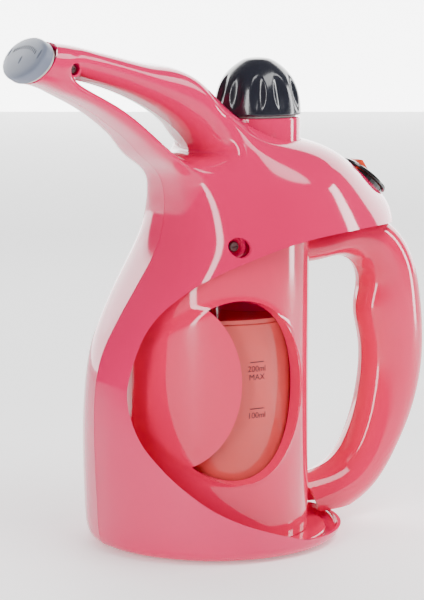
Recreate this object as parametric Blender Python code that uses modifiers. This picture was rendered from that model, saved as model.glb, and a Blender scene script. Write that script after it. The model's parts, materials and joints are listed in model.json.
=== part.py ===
"""Handheld garment steamer: spouted two-half cowl over a round tank housing with a loop handle.

Millimetre sizes are named at the top and scaled by MM when geometry is made.
+Z is up, the steam nozzle points toward -X, the handle is toward +X and the
mirror plane of the object is Y = 0.
"""
import math

import bpy
import bmesh
from mathutils import Matrix, Vector

MM = 0.001
FIT = 0.3                  # clearance between separate pieces
PART_HALF = FIT / 2.0      # half of the clearance at the parting plane
SHELL = 1.7                # wall of the moulded shells

# ---- overall driving sizes ----
BASE_R = 64.6              # skirt radius near the floor
BASE_X = 1.2               # skirt centre
CORE_X = 2.4               # centre line of the tank, its housing and the boiler
HOUSING_R = 45.5           # tank housing outer radius
HOUSING_WALL = 2.2
HOUSING_TOP = 152.5
TANK_R = 39.0
TANK_WALL = 1.8
TANK_FLOOR = 22.0
TANK_TOP = 111.0
PLATE_T = 2.8              # base plate thickness
DECK_T = 2.0
SKIRT_LIFT = 0.4           # the skirt clears the floor, the base plate rests on it
NECK_HALF = 20.6           # half width of the spout
NOZZLE_TILT = math.radians(31.0)
NOZZLE_A = 20.6            # nozzle half width
NOZZLE_B = 11.3            # nozzle half height
NOZZLE_DEEP = 5.2
NOZZLE_C = (-95.6, 235.4)  # centre of the neck end (x, z)
CAP_X = 25.7
CAP_R = 21.4
CAP_RIM_Z = 208.4
CAP_TOP_Z = 236.2
CAP_DIMPLES = 11
COLLAR_R = 21.2
COLLAR_TOP = CAP_RIM_Z - 1.1
COLLAR_FOOT = 186.0
MOUTH_R = 15.0
FUNNEL_WALL = 1.6
FUNNEL_ROOM = 2.2          # from the funnel to the tank's inner wall
FUNNEL_X = CORE_X + TANK_R - TANK_WALL - FUNNEL_ROOM - FUNNEL_WALL - MOUTH_R
TUBE_X = FUNNEL_X - MOUTH_R - FUNNEL_WALL - 7.2    # the steam tube rises in front of the funnel
BEZEL_C = (87.6, 174.6)    # switch centre on the rear slope (x, z)
BEZEL_TILT = math.radians(37.0)
BEZEL_L = 14.6             # half length of the switch bezel
BEZEL_W = 10.2
BEZEL_T = 2.6
ROCKER_L = 9.2
ROCKER_W = 6.4
BODY_L = 13.2              # switch body half length: its well clears the rocker's corners as it tips
BODY_W = 9.0
EDGE_Z = 151.6             # lower edge of the cowl tail
HANDLE_HALF = 15.6         # half width of the grip
FOOT_Z = PLATE_T + FIT + DECK_T + 0.35
SCREW_NECK = (-83.0, 233.5)
SCREW_SIDE = (-10.4, 149.1)
SIDE_SEAT = 37.5           # depth of the shoulder screw seat
POST_R = 4.4               # radius of the long screw post
POST_NEAR = PART_HALF + 0.1
NECK_SEAT = 13.0           # depth of the neck screw seat

# Neck stations: top line, upper slit edge, lower slit edge, front line, half widths.
NECK = (
    ((-89.4, 245.7), (-95.6, 237.0), (-96.8, 235.0), (-100.9, 226.4), NECK_HALF, NECK_HALF),
    ((-84.0, 245.2), (-89.6, 235.6), (-91.0, 233.4), (-95.0, 225.2), NECK_HALF, NECK_HALF),
    ((-78.3, 244.2), (-81.8, 231.8), (-83.4, 230.0), (-88.0, 222.6), NECK_HALF, NECK_HALF),
    ((-74.6, 243.4), (-73.6, 227.6), (-77.0, 226.4), (-82.6, 220.4), NECK_HALF, 20.8),
    ((-62.3, 240.6), (-57.6, 222.9), (-65.2, 220.4), (-71.8, 215.5), 20.8, 21.0),
    ((-51.0, 237.7), (-44.6, 217.8), (-55.6, 215.2), (-62.0, 209.7), 21.6, 21.6),
    ((-40.7, 235.2), (-32.4, 211.6), (-47.8, 209.2), (-53.6, 203.6), 23.0, 22.6),
    ((-31.5, 234.4), (-22.6, 204.6), (-41.0, 202.8), (-46.2, 197.8), 24.8, 24.0),
    ((-22.8, 232.6), (-15.4, 197.8), (-35.4, 197.0), (-40.6, 191.4), 27.0, 27.2),
    ((-14.7, 227.9), (-11.0, 190.2), (-31.0, 192.6), (-35.2, 187.0), 29.6, 30.2),
)
# Body stations: top line, bend point, front line, half width, fullness at top, fullness at front.
FAN = (
    ((-5.1, 219.0), (4.0, 186.0), (-29.4, 182.0), 32.6, 0.85, 0.50),
    ((7.1, 209.0), (12.0, 178.0), (-26.6, 174.5), 37.0, 0.90, 0.50),
    ((22.1, 202.0), (16.0, 170.0), (-26.4, 163.6), 42.5, 0.90, 0.52),
    ((42.1, 197.8), (18.0, 162.0), (-28.0, 151.4), 47.0, 0.86, 0.54),
    ((61.0, 193.6), (18.0, 154.0), (-34.6, 138.4), 50.5, 0.92, 0.58),
    ((76.5, 184.4), (18.0, 144.0), (-44.9, 123.6), 52.4, 1.05, 0.64),
    ((92.0, 172.2), (18.0, 133.0), (-54.0, 109.2), 54.2, 1.30, 0.74),
    ((102.4, 163.6), (16.0, 118.0), (-61.6, 96.2), 56.6, 1.45, 0.88),
    ((106.8, 151.0), (12.0, 100.0), (-65.0, 81.0), 60.2, 1.40, 1.00),
    ((91.0, 104.5), (6.0, 76.0), (-65.6, 61.0), 63.0, 1.00, 1.00),
    ((75.0, 61.0), (2.0, 48.0), (-65.0, 41.0), 64.0, 1.00, 1.00),
    ((67.4, 26.0), (1.5, 24.0), (-64.0, 22.5), 64.6, 1.00, 1.00),
)
# Skirt rings: height above the skirt edge, radius inside BASE_R.
SKIRT = ((7.6, 0.0), (1.9, 1.9), (0.0, 8.2))
ARM_T = (0.0, 0.13, 0.29, 0.47, 0.65, 0.84, 1.0)
STRAP_T = (0.0, 0.20, 0.44, 0.70, 0.87, 1.0)
TUBE_T = (0.0, 0.07, 0.16, 0.26, 0.36, 0.44, 0.485, 0.515, 0.55, 0.61, 0.70, 0.81, 0.91, 1.0)
FAN_T = (0.0, 0.08, 0.17, 0.26, 0.35, 0.44, 0.52, 0.59, 0.66, 0.73, 0.81, 0.88, 0.94, 1.0)
NECK_CLOSED = 3            # stations before the slit tip
NECK_FULL = 0.60           # squareness of the spout section
KEEL_FULL = 0.95           # pointed toward the slit
FACE_FULL = 0.50           # flat toward the front
# Edge of the cowl's side opening, seen from the side (x, z), from the tail to the skirt.
OPENING = (
    (92.0, 153.0), (70.0, 153.8), (44.0, 153.2), (23.5, 151.2), (7.5, 147.7), (-7.2, 142.7), (-20.5, 136.8),
    (-32.5, 129.1), (-44.1, 117.5), (-52.8, 103.3), (-58.1, 86.8), (-59.1, 72.7), (-56.4, 58.1),
    (-50.4, 46.6), (-42.0, 36.1), (-30.1, 26.1), (-14.1, 18.2), (6.2, 11.4), (19.3, 8.0), (40.0, 6.9),
)
OPENING_FAR = 150.0
RIM_Z = 6.9
TRIM = tuple((x + 0.25, z - 0.6) for (x, z) in OPENING[:10])
# Grip stations: inner edge (x, z), outer edge (x, z), half width.
GRIP = (
    ((44.0, 133.0), (44.0, 149.6), 13.0),
    ((58.0, 133.2), (60.0, 150.2), 14.0),
    ((68.0, 135.4), (78.0, 157.0), 15.0),
    ((77.5, 135.4), (98.0, 156.0), HANDLE_HALF),
    ((84.6, 130.0), (112.6, 143.0), HANDLE_HALF),
    ((88.0, 120.6), (120.0, 125.8), HANDLE_HALF),
    ((82.8, 107.6), (123.4, 106.6), HANDLE_HALF),
    ((88.8, 92.0), (124.6, 88.0), HANDLE_HALF),
    ((88.6, 74.0), (122.6, 69.0), HANDLE_HALF),
    ((85.2, 56.5), (116.6, 50.0), HANDLE_HALF),
    ((79.8, 42.0), (107.6, 34.0), HANDLE_HALF),
    ((73.0, 32.0), (98.6, 19.4), HANDLE_HALF),
    ((63.0, 26.8), (85.4, 7.0), 15.0),
    ((48.0, 25.0), (60.0, -2.0), 14.0),
)
GRIP_T = (0.0, 0.14, 0.32, 0.5, 0.68, 0.86, 1.0)
# Crescent opening of the housing: outer circle, inner circle (x, z, rx, rz).
EYE = (-10.5, 79.2, 37.2, 44.6)
LUNE = (-49.7, 84.0, 40.0, 46.0)

for _ob in list(bpy.data.objects):
    bpy.data.objects.remove(_ob)
PARTS = bpy.data.collections.new("garment_steamer")
CUTS = bpy.data.collections.new("cutters")
bpy.context.scene.collection.children.link(PARTS)
bpy.context.scene.collection.children.link(CUTS)


def material(name, rgb, rough, metal=0.0, trans=0.0):
    """Make a plain Principled material."""
    mat = bpy.data.materials.new(name)
    mat.use_nodes = True
    bsdf = mat.node_tree.nodes["Principled BSDF"]
    bsdf.inputs["Base Color"].default_value = (*rgb, 1.0)
    bsdf.inputs["Roughness"].default_value = rough
    bsdf.inputs["Metallic"].default_value = metal
    bsdf.inputs["Transmission Weight"].default_value = trans
    return mat


def put(obj, mat, smooth=True, group=PARTS):
    """Link a finished object into its collection and give it one material."""
    for col in list(obj.users_collection):
        col.objects.unlink(obj)
    group.objects.link(obj)
    obj.data.materials.clear()
    obj.data.materials.append(mat)
    if smooth:
        for poly in obj.data.polygons:
            poly.use_smooth = True
    return obj


def grid_object(name, rows, skip, flip):
    """Make an open quad surface from rows of (x, y, z) millimetre points."""
    count = len(rows[0])
    verts = [(x * MM, y * MM, z * MM) for row in rows for (x, y, z) in row]
    faces = []
    for i in range(len(rows) - 1):
        for r in range(count - 1):
            if skip(i, r):
                continue
            a = i * count + r
            quad = (a, a + 1, a + count + 1, a + count)
            faces.append(quad[::-1] if flip else quad)
    mesh = bpy.data.meshes.new(name)
    mesh.from_pydata(verts, [], faces)
    mesh.update()
    obj = bpy.data.objects.new(name, mesh)
    CUTS.objects.link(obj)
    return obj


def bake(obj):
    """Replace an object's mesh by its evaluated one."""
    bpy.context.view_layer.update()
    graph = bpy.context.evaluated_depsgraph_get()
    mesh = bpy.data.meshes.new_from_object(obj.evaluated_get(graph))
    obj.modifiers.clear()
    obj.data = mesh
    return obj


def settle(obj):
    """Move the cage of an open surface onto its own softened surface."""
    fine = obj.copy()
    fine.data = obj.data.copy()
    CUTS.objects.link(fine)
    sub = fine.modifiers.new("soft", "SUBSURF")
    sub.levels = 3
    sub.render_levels = 3
    bake(fine)
    for old, new in zip(obj.data.vertices, fine.data.vertices):
        old.co = new.co
    obj.data.update()
    bpy.data.objects.remove(fine)


def thicken(obj, wall, side):
    """Soften an open half surface and give it an inward wall that stays on its side of the parting plane."""
    settle(obj)
    sol = obj.modifiers.new("wall", "SOLIDIFY")
    sol.thickness = wall * MM
    sol.offset = -1.0
    sol.use_even_offset = False
    sol.use_rim = True
    bake(obj)
    for vert in obj.data.vertices:
        if vert.co.y * side < PART_HALF * MM:
            vert.co.y = side * PART_HALF * MM
    outward(obj)
    return obj


def boolean(obj, other, kind="DIFFERENCE"):
    """Add an exact Boolean and apply it."""
    mod = obj.modifiers.new("bool", "BOOLEAN")
    mod.operation = kind
    mod.solver = "EXACT"
    mod.object = other
    bake(obj)
    return obj


def boolean_all(obj, tools):
    """Cut several tools out of an object in one step."""
    group = bpy.data.collections.new("tool_group")
    bpy.context.scene.collection.children.link(group)
    for tool in tools:
        group.objects.link(tool)
    mod = obj.modifiers.new("bool", "BOOLEAN")
    mod.operation = "DIFFERENCE"
    mod.solver = "EXACT"
    mod.operand_type = "COLLECTION"
    mod.collection = group
    bake(obj)
    bpy.data.collections.remove(group)


def hide_tool(obj):
    """Mark a helper solid as a cutter."""
    for col in list(obj.users_collection):
        col.objects.unlink(obj)
    CUTS.objects.link(obj)
    obj.display_type = "WIRE"
    obj.hide_render = True
    return obj


def drop(*objs):
    """Remove helper solids that have done their work."""
    for obj in objs:
        bpy.data.objects.remove(obj)


def turned(name, profile, steps=32):
    """Turn a (radius, z) profile round Z; the profile runs down its outer side."""
    mesh = bpy.data.meshes.new(name)
    verts = [(r * MM, 0.0, z * MM) for (r, z) in profile]
    closed = profile[0][0] > 1e-6 or profile[-1][0] > 1e-6
    edges = [(i, i + 1) for i in range(len(verts) - 1)]
    if closed:
        edges.append((len(verts) - 1, 0))
    mesh.from_pydata(verts, edges, [])
    obj = bpy.data.objects.new(name, mesh)
    CUTS.objects.link(obj)
    screw = obj.modifiers.new("turn", "SCREW")
    screw.steps = steps
    screw.render_steps = steps
    screw.use_merge_vertices = True
    screw.merge_threshold = 0.00001
    screw.use_normal_calculate = True
    bake(obj)
    outward(obj)
    return obj


def outward(obj):
    """Make every face of a closed mesh point out."""
    bm = bmesh.new()
    bm.from_mesh(obj.data)
    bmesh.ops.remove_doubles(bm, verts=bm.verts, dist=1e-6)
    bmesh.ops.recalc_face_normals(bm, faces=bm.faces)
    if bm.calc_volume(signed=True) < 0.0:
        bmesh.ops.reverse_faces(bm, faces=bm.faces)
    bm.to_mesh(obj.data)
    bm.free()


def place(obj, matrix):
    """Move an object's mesh by a matrix, leaving the object at the origin."""
    obj.data.transform(matrix)
    obj.data.update()
    return obj


def at(x, y, z):
    """Translation in millimetres."""
    return Matrix.Translation((x * MM, y * MM, z * MM))


def cylinder(name, radius, z0, z1, segments=32):
    """Closed upright cylinder."""
    return turned(name, ((0.0, z1), (radius, z1), (radius, z0), (0.0, z0)), segments)


def ring(name, r_out, r_in, z0, z1, segments=32):
    """Upright ring with a square section."""
    return turned(name, ((r_in, z1), (r_out, z1), (r_out, z0), (r_in, z0)), segments)


def slab(name, outline, y0, y1):
    """Extrude an (x, z) outline along Y."""
    curve = bpy.data.curves.new(name, "CURVE")
    curve.dimensions = "2D"
    curve.fill_mode = "BOTH"
    spline = curve.splines.new("POLY")
    spline.points.add(len(outline) - 1)
    for point, (x, z) in zip(spline.points, outline):
        point.co = (x * MM, z * MM, 0.0, 1.0)
    spline.use_cyclic_u = True
    curve.extrude = abs(y1 - y0) / 2.0 * MM
    tmp = bpy.data.objects.new(name + "_outline", curve)
    CUTS.objects.link(tmp)
    bpy.context.view_layer.update()
    graph = bpy.context.evaluated_depsgraph_get()
    mesh = bpy.data.meshes.new_from_object(tmp.evaluated_get(graph))
    bpy.data.objects.remove(tmp)
    shift = Matrix.Translation((0.0, (y0 + y1) / 2.0 * MM, 0.0))
    mesh.transform(shift @ Matrix.Rotation(math.pi / 2.0, 4, "X"))
    obj = bpy.data.objects.new(name, mesh)
    CUTS.objects.link(obj)
    outward(obj)
    return obj


def tube(name, points, radius, resolution=3, smooth=4):
    """Round bar through (x, y, z) points with closed ends."""
    curve = bpy.data.curves.new(name, "CURVE")
    curve.dimensions = "3D"
    curve.bevel_depth = radius * MM
    curve.bevel_resolution = resolution
    curve.use_fill_caps = True
    curve.resolution_u = smooth
    spline = curve.splines.new("NURBS")
    spline.points.add(len(points) - 1)
    for point, (x, y, z) in zip(spline.points, points):
        point.co = (x * MM, y * MM, z * MM, 1.0)
    spline.use_endpoint_u = True
    spline.order_u = 4 if len(points) > 3 else 3
    tmp = bpy.data.objects.new(name + "_path", curve)
    CUTS.objects.link(tmp)
    bpy.context.view_layer.update()
    graph = bpy.context.evaluated_depsgraph_get()
    mesh = bpy.data.meshes.new_from_object(tmp.evaluated_get(graph))
    bpy.data.objects.remove(tmp)
    obj = bpy.data.objects.new(name, mesh)
    CUTS.objects.link(obj)
    outward(obj)
    return obj


def rim(angle, rx, rz, cx, cz):
    """Point of an ellipse in the side view."""
    return (cx + rx * math.cos(angle), cz + rz * math.sin(angle))


def sideways(half, t, fullness):
    """Distance from the mirror plane; the two ends lie on the parting face."""
    bulge = math.sin(math.pi * t)
    return half * bulge ** fullness if 1e-6 < t < 1.0 - 1e-6 else PART_HALF


def half_loop(start, end, half, t, full_a, full_b):
    """Point of a half section that leaves and rejoins the mirror plane."""
    along = (1.0 - math.cos(math.pi * t)) / 2.0
    fullness = full_a if t < 0.5 else full_b
    out = sideways(half, t, fullness)
    return (start[0] + (end[0] - start[0]) * along, -out, start[1] + (end[1] - start[1]) * along)


def cowl_rows():
    """Cage of the left cowl half: rows run from the top line to the front line."""
    rows = []
    for i, (top, upper, lower, front, arm_w, strap_w) in enumerate(NECK):
        if i < NECK_CLOSED:
            rows.append([half_loop(top, front, arm_w, t, NECK_FULL, NECK_FULL) for t in TUBE_T])
            continue
        row = [half_loop(top, upper, arm_w, t, NECK_FULL, KEEL_FULL) for t in ARM_T]
        row.append(((upper[0] + lower[0]) / 2.0, -PART_HALF, (upper[1] + lower[1]) / 2.0))
        row += [half_loop(lower, front, strap_w, t, KEEL_FULL, FACE_FULL) for t in STRAP_T]
        rows.append(row)
    for top, bend, front, half, full_a, full_b in FAN:
        row = []
        for t in FAN_T:
            s = (1.0 - math.cos(math.pi * t)) / 2.0
            x = (1 - s) ** 2 * top[0] + 2 * s * (1 - s) * bend[0] + s * s * front[0]
            z = (1 - s) ** 2 * top[1] + 2 * s * (1 - s) * bend[1] + s * s * front[1]
            fullness = full_a if t < 0.5 else full_b
            row.append((x, -sideways(half, t, fullness), z))
        rows.append(row)
    for lift, inset in SKIRT:
        r = BASE_R - inset
        z = SKIRT_LIFT + lift
        rows.append([(BASE_X + r * math.cos(math.pi * t), -sideways(r, t, 1.0), z) for t in FAN_T])
    return rows


def in_slit(i, r):
    """True for the cage faces left out for the slit in the neck."""
    first = len(ARM_T) - 1
    return NECK_CLOSED <= i < len(NECK) - 1 and first <= r < first + 2


def mirrored(rows, side):
    """Rows of the left (-1) or right (+1) half."""
    return [[(x, y if side < 0 else -y, z) for (x, y, z) in row] for row in rows]


def tilt_frame(x, z, angle):
    """Frame whose Z axis leans toward +X by angle, at a point of the mirror plane."""
    return at(x, 0.0, z) @ Matrix.Rotation(angle, 4, "Y")


def oval(name, half_l, half_w, z0, z1, segments=28):
    """Closed oval plate standing on the local XY plane."""
    obj = cylinder(name, 1.0, 0.0, 1.0, segments)
    scale = Matrix.Diagonal((half_l, half_w, z1 - z0, 1.0))
    return place(obj, Matrix.Translation((0, 0, z0 * MM)) @ scale)


# ---- materials ----
PINK = material("pink_shell", (0.90, 0.10, 0.22), 0.15)
PINK_IN = material("pink_housing", (0.90, 0.09, 0.20), 0.15)
SLATE = material("slate_cap", (0.09, 0.11, 0.16), 0.2)
GREY = material("grey_nozzle", (0.36, 0.43, 0.53), 0.45)
BLACK = material("black_plastic", (0.02, 0.02, 0.02), 0.3)
LAMP = material("red_rocker", (0.85, 0.10, 0.04), 0.15, 0.0, 0.3)
MILK = material("clear_tank", (0.85, 0.62, 0.64), 0.1, 0.0, 0.5)
RUBBER = material("seal_rubber", (0.75, 0.73, 0.70), 0.6)
STEEL = material("screw_steel", (0.55, 0.56, 0.58), 0.35, 1.0)
ALU = material("cast_aluminium", (0.65, 0.66, 0.68), 0.4, 1.0)
WIRE = material("wire_sleeve", (0.30, 0.25, 0.22), 0.5)
WHITE = material("white_plastic", (0.80, 0.79, 0.76), 0.4)

# ---- shared cutters ----
opening = slab("opening_tool", (
    (OPENING_FAR, EDGE_Z), (105.0, EDGE_Z)) + OPENING + ((60.0, RIM_Z), (OPENING_FAR, RIM_Z)), -80.0, 80.0)
hide_tool(opening)
collar_tool = hide_tool(place(cylinder("collar_tool", COLLAR_R + FIT, 176.0, 215.0), at(CAP_X, 0, 0)))
NUDGE = at(0.011, 0.017, 0.0)   # keeps tool edges off the parting plane
SWITCH = tilt_frame(BEZEL_C[0], BEZEL_C[1], BEZEL_TILT)
seat_tool = hide_tool(place(oval("seat_tool", BEZEL_L + FIT, BEZEL_W + FIT, 0.0, 14.0, 30), SWITCH @ NUDGE))
body_tool = hide_tool(place(oval("body_tool", BODY_L + FIT, BODY_W + FIT, -14.0, 4.0, 26), SWITCH @ NUDGE))
SIDEWAYS = Matrix.Rotation(math.pi / 2.0, 4, "X")
NECK_AXIS = at(SCREW_NECK[0], 0, SCREW_NECK[1]) @ SIDEWAYS
SIDE_AXIS = at(SCREW_SIDE[0], 0, SCREW_SIDE[1]) @ SIDEWAYS
TWIST = Matrix.Rotation(0.1, 4, "Z")
NECK_BORE = ((0.0, 30.0), (2.9, 30.0), (2.9, NECK_SEAT), (1.7, NECK_SEAT), (1.7, -12.0), (0.0, -12.0))
SIDE_BORE = ((0.0, 60.0), (4.7, 60.0), (4.7, SIDE_SEAT), (1.9, SIDE_SEAT), (1.9, -14.0), (0.0, -14.0))
neck_bore = hide_tool(place(turned("neck_bore_tool", NECK_BORE, 16), NECK_AXIS @ TWIST))
side_bore = hide_tool(place(turned("side_bore_tool", SIDE_BORE, 16), SIDE_AXIS @ TWIST))


# ---- cowl halves ----
def reach(post, wall, far, side):
    """Stretch the outer end of a post until it is sunk half way into a wall."""
    bpy.context.view_layer.update()
    for vert in post.data.vertices:
        if vert.co.y * side > (far - 0.1) * MM:
            start = Vector((vert.co.x, side * far * 0.7 * MM, vert.co.z))
            hit, place_hit, _, _ = wall.ray_cast(start, Vector((0.0, side, 0.0)))
            if hit:
                vert.co.y = place_hit.y + side * SHELL * 0.5 * MM


def halve(obj, side):
    """Cut a half shell at the parting plane."""
    keep = hide_tool(slab("keep_tool", ((-150.0, -5.0), (150.0, -5.0), (150.0, 260.0), (-150.0, 260.0)),
                          side * PART_HALF, side * 90.0))
    boolean(obj, keep, "INTERSECT")
    drop(keep)


def cowl_half(name, side):
    """One moulded half of the spouted cowl."""
    obj = grid_object(name, mirrored(cowl_rows(), side), in_slit, side > 0)
    thicken(obj, SHELL, side)
    tools = [opening, collar_tool, seat_tool, body_tool]
    wide = POST_R + 1.9 if side < 0 else POST_R
    posts = (
        (((0.0, 16.0), (3.6, 16.0), (3.6, POST_NEAR), (0.0, POST_NEAR)), NECK_AXIS),
        (((0.0, 40.0), (wide, 40.0), (wide, SIDE_SEAT - 1.6), (POST_R, SIDE_SEAT - 2.6), (POST_R, POST_NEAR),
          (0.0, POST_NEAR)), SIDE_AXIS),
    )
    tools += [neck_bore, side_bore]
    for profile, axis in posts:
        post = turned("post_tool", profile, 20)
        if side > 0:
            place(post, Matrix.Scale(-1.0, 4, (0.0, 0.0, 1.0)))
            outward(post)
        hide_tool(place(post, axis))
        reach(post, obj, profile[0][1], side)
        boolean(obj, post, "UNION")
        drop(post)
    boolean_all(obj, tools)
    return put(obj, PINK)


cowl_left = cowl_half("cowl_left", -1)
cowl_right = cowl_half("cowl_right", 1)

# ---- spout ----
NECK_END = tilt_frame(NOZZLE_C[0], NOZZLE_C[1], -math.pi / 2.0 + NOZZLE_TILT)


def nozzle_head():
    """Oval steam outlet with its slots and a socket for the steam tube."""
    face = NOZZLE_DEEP + 1.2
    plug = NOZZLE_A - 7.2
    profile = ((0.0, face + 0.5), (NOZZLE_A - 7.0, face + 0.3), (NOZZLE_A - 1.6, face - 0.4),
               (NOZZLE_A, face - 1.9), (NOZZLE_A, 1.2 + FIT), (plug, 1.2 + FIT), (plug, -1.5), (0.0, -1.5))
    obj = turned("nozzle_head", profile, 32)
    place(obj, Matrix.Diagonal((NOZZLE_B / NOZZLE_A, 1.0, 1.0, 1.0)))
    cuts = [oval("slot_mid_tool", 2.1, 0.75, -9.0, 12.0, 12)]
    place(cuts[0], Matrix.Translation((-1.6 * MM, 0, 0)))
    for side in (-1, 1):
        slot = oval("slot_tool", 2.5, 0.8, -9.0, 12.0, 12)
        cuts.append(place(slot, Matrix.Translation((2.2 * MM, side * 15.6 * MM, 0))))
    for cut in cuts:
        boolean(obj, cut)
    drop(*cuts)
    return put(place(obj, NECK_END), GREY)


def nozzle_seal():
    """Flat gasket between the neck end and the nozzle."""
    obj = oval("nozzle_seal", NOZZLE_B - 0.5, NOZZLE_A - 0.5, FIT + 0.15, 1.2, 28)
    hole = oval("seal_hole", NOZZLE_B - SHELL - 0.9, NOZZLE_A - SHELL - 1.2, -3.0, 5.0, 24)
    boolean(obj, hole)
    drop(hole)
    return put(place(obj, NECK_END), RUBBER)


nozzle_head()
nozzle_seal()
steam_path = ((CORE_X, 0.0, 66.0), (CORE_X, 0.0, 78.0), (TUBE_X, 0.0, 92.0), (TUBE_X, 0.0, 110.0),
              (TUBE_X, 0.0, 140.0), (TUBE_X, 0.0, 165.0), (-2.0, 0.0, 205.0), (-22.0, 0.0, 223.0),
              (-52.0, 0.0, 231.0), (-70.0, 0.0, 237.5), (-81.0, 0.0, 239.9), (-89.0, 0.0, 239.4))
put(tube("steam_tube", steam_path, 2.2, 2, 3), WHITE)


# ---- tank housing ----
AXIS = at(CORE_X, 0, 0)


def housing_half(name, side):
    """Half of the round housing, with the crescent opening over the tank."""
    obj = place(ring(name, HOUSING_R, HOUSING_R - HOUSING_WALL, FOOT_Z, HOUSING_TOP, 48), AXIS)
    halve(obj, side)
    turns = [2 * math.pi * k / 28 for k in range(28)]
    eye = slab("eye_tool", [rim(a, EYE[2], EYE[3], EYE[0], EYE[1]) for a in turns], side * 5.0, side * 70.0)
    lune = slab("lune_tool", [rim(a + 0.01, LUNE[2], LUNE[3], LUNE[0], LUNE[1]) for a in turns],
                side * 2.0, side * 75.0)
    boolean(eye, lune)
    boolean(obj, eye)
    above = TRIM + ((-90.0, 98.0), (-90.0, 230.0), (OPENING_FAR, 230.0), (OPENING_FAR, EDGE_Z - 0.6))
    over = slab("over_tool", above, -90.0, 90.0)
    boolean(obj, over)
    drop(eye, lune, over)
    if side > 0:
        hole = place(cylinder("gland_tool", 4.0 + FIT, HOUSING_R - 8.0, HOUSING_R + 8.0, 20), GLAND)
        boolean(obj, hole)
        drop(hole)
    return put(obj, PINK_IN, False)


GLAND_TURN = math.radians(52.0)
GLAND = at(CORE_X, 0, 17.0) @ Matrix.Rotation(GLAND_TURN, 4, "Z") @ Matrix.Rotation(math.pi / 2.0, 4, "Y")
housing_half("housing_left", -1)
housing_half("housing_right", 1)
GLAND_END = HOUSING_R + 6.0
GLAND_PROFILE = ((2.6, GLAND_END), (4.4, GLAND_END), (6.2, GLAND_END - 3.6), (6.2, HOUSING_R + FIT),
                 (4.0, HOUSING_R + FIT), (4.0, HOUSING_R - 3.8), (2.6, HOUSING_R - 3.8))
gland = turned("cord_gland", GLAND_PROFILE, 24)
put(place(gland, GLAND), BLACK)


# ---- grip ----
def grip_half(name, side):
    """One moulded half of the loop handle."""
    rows = []
    for inner, outer, half in GRIP:
        rows.append([half_loop(inner, outer, half, t, 0.9, 0.9) for t in GRIP_T])
    obj = grid_object(name, mirrored(rows, side), lambda i, r: False, side < 0)
    thicken(obj, SHELL, side)
    core = hide_tool(place(cylinder("core_tool", HOUSING_R + FIT, 0.0, 170.0, 64), AXIS))
    above = hide_tool(slab("above_tool", ((20.0, 151.0), (70.0, 152.9), (92.0, 152.4), (130.0, 151.0),
                                          (130.0, 190.0), (20.0, 190.0)), -30.0, 30.0))
    below = hide_tool(slab("below_tool", ((20.0, -20.0), (130.0, -20.0), (130.0, RIM_Z + 0.5),
                                          (20.0, RIM_Z + 0.5)), -30.0, 30.0))
    for tool in (core, above, below):
        boolean(obj, tool)
    drop(core, above, below)
    return put(obj, PINK_IN)


grip_half("handle_left", -1)
grip_half("handle_right", 1)

# ---- water tank ----
tank = turned("water_tank", ((0.0, TANK_FLOOR + TANK_WALL), (TANK_R - TANK_WALL, TANK_FLOOR + TANK_WALL),
                             (TANK_R - TANK_WALL, TANK_TOP), (TANK_R, TANK_TOP), (TANK_R, TANK_FLOOR),
                             (0.0, TANK_FLOOR)), 32)
put(place(tank, AXIS), MILK)
cover = place(cylinder("tank_cover", TANK_R, TANK_TOP + FIT, TANK_TOP + FIT + 2.0, 40), AXIS)
for hole in (place(cylinder("funnel_hole", MOUTH_R + FUNNEL_WALL + FIT, 100.0, 200.0, 28), at(FUNNEL_X, 0, 0)),
             place(cylinder("tube_hole", 3.3, 100.0, 200.0, 20), at(TUBE_X, 0, 0))):
    boolean(cover, hole)
    drop(hole)
put(cover, MILK)
COLLAR_PROFILE = ((COLLAR_R, COLLAR_TOP), (COLLAR_R, COLLAR_FOOT), (MOUTH_R + FUNNEL_WALL, COLLAR_FOOT - 6.0),
                  (MOUTH_R + FUNNEL_WALL, TANK_TOP - 5.0), (MOUTH_R, TANK_TOP - 5.0),
                  (MOUTH_R, COLLAR_FOOT - 1.0), (MOUTH_R, COLLAR_TOP))
collar = turned("filler_collar", COLLAR_PROFILE, 32)
for vert in collar.data.vertices:
    if vert.co.z < (COLLAR_FOOT - 3.0) * MM:
        vert.co.x += (FUNNEL_X - CAP_X) * MM
put(place(collar, at(CAP_X, 0, 0)), PINK)

# ---- filler cap ----
CAP_PROFILE = ((0.0, CAP_TOP_Z), (7.4, 234.9), (11.6, 232.2), (15.1, 228.9), (17.6, 225.4), (19.4, 221.4),
               (20.6, 217.0), (21.2, 212.8), (CAP_R, CAP_RIM_Z))
CAP_INSIDE = ((CAP_R - 2.0, CAP_RIM_Z), (19.0, 213.0), (17.6, 218.0), (15.0, 223.0), (10.0, 227.6),
              (0.0, 229.0))
cap = turned("filler_cap", CAP_PROFILE + CAP_INSIDE, 33)
for k in range(CAP_DIMPLES):
    turn = 2.0 * math.pi * (k + 0.35) / CAP_DIMPLES
    bpy.ops.mesh.primitive_uv_sphere_add(segments=8, ring_count=6, radius=1.0)
    ball = bpy.context.active_object
    ball.name = "dimple_tool"
    frame = Matrix.Rotation(turn, 4, "Z") @ at(21.9, 0.0, 219.2) @ Matrix.Rotation(-0.22, 4, "Y")
    place(ball, frame @ Matrix.Diagonal((2.6 * MM, 3.6 * MM, 9.4 * MM, 1.0)))
    boolean(cap, ball)
    drop(ball)
insert = turned("cap_insert", ((MOUTH_R - FIT, 206.0), (MOUTH_R - FIT, 197.0), (MOUTH_R - 2.2, 197.0),
                               (MOUTH_R - 2.2, 206.0)), 32)
lid = cylinder("insert_top", 16.6, 209.4, 211.4, 32)
stem = ring("insert_stem", MOUTH_R - FIT, MOUTH_R - 2.2, 205.0, 210.4, 32)
boolean(insert, stem, "UNION")
boolean(insert, lid, "UNION")
drop(lid, stem)
gasket = ring("cap_gasket", 18.8, MOUTH_R, COLLAR_TOP + 0.15, 209.1, 32)
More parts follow.
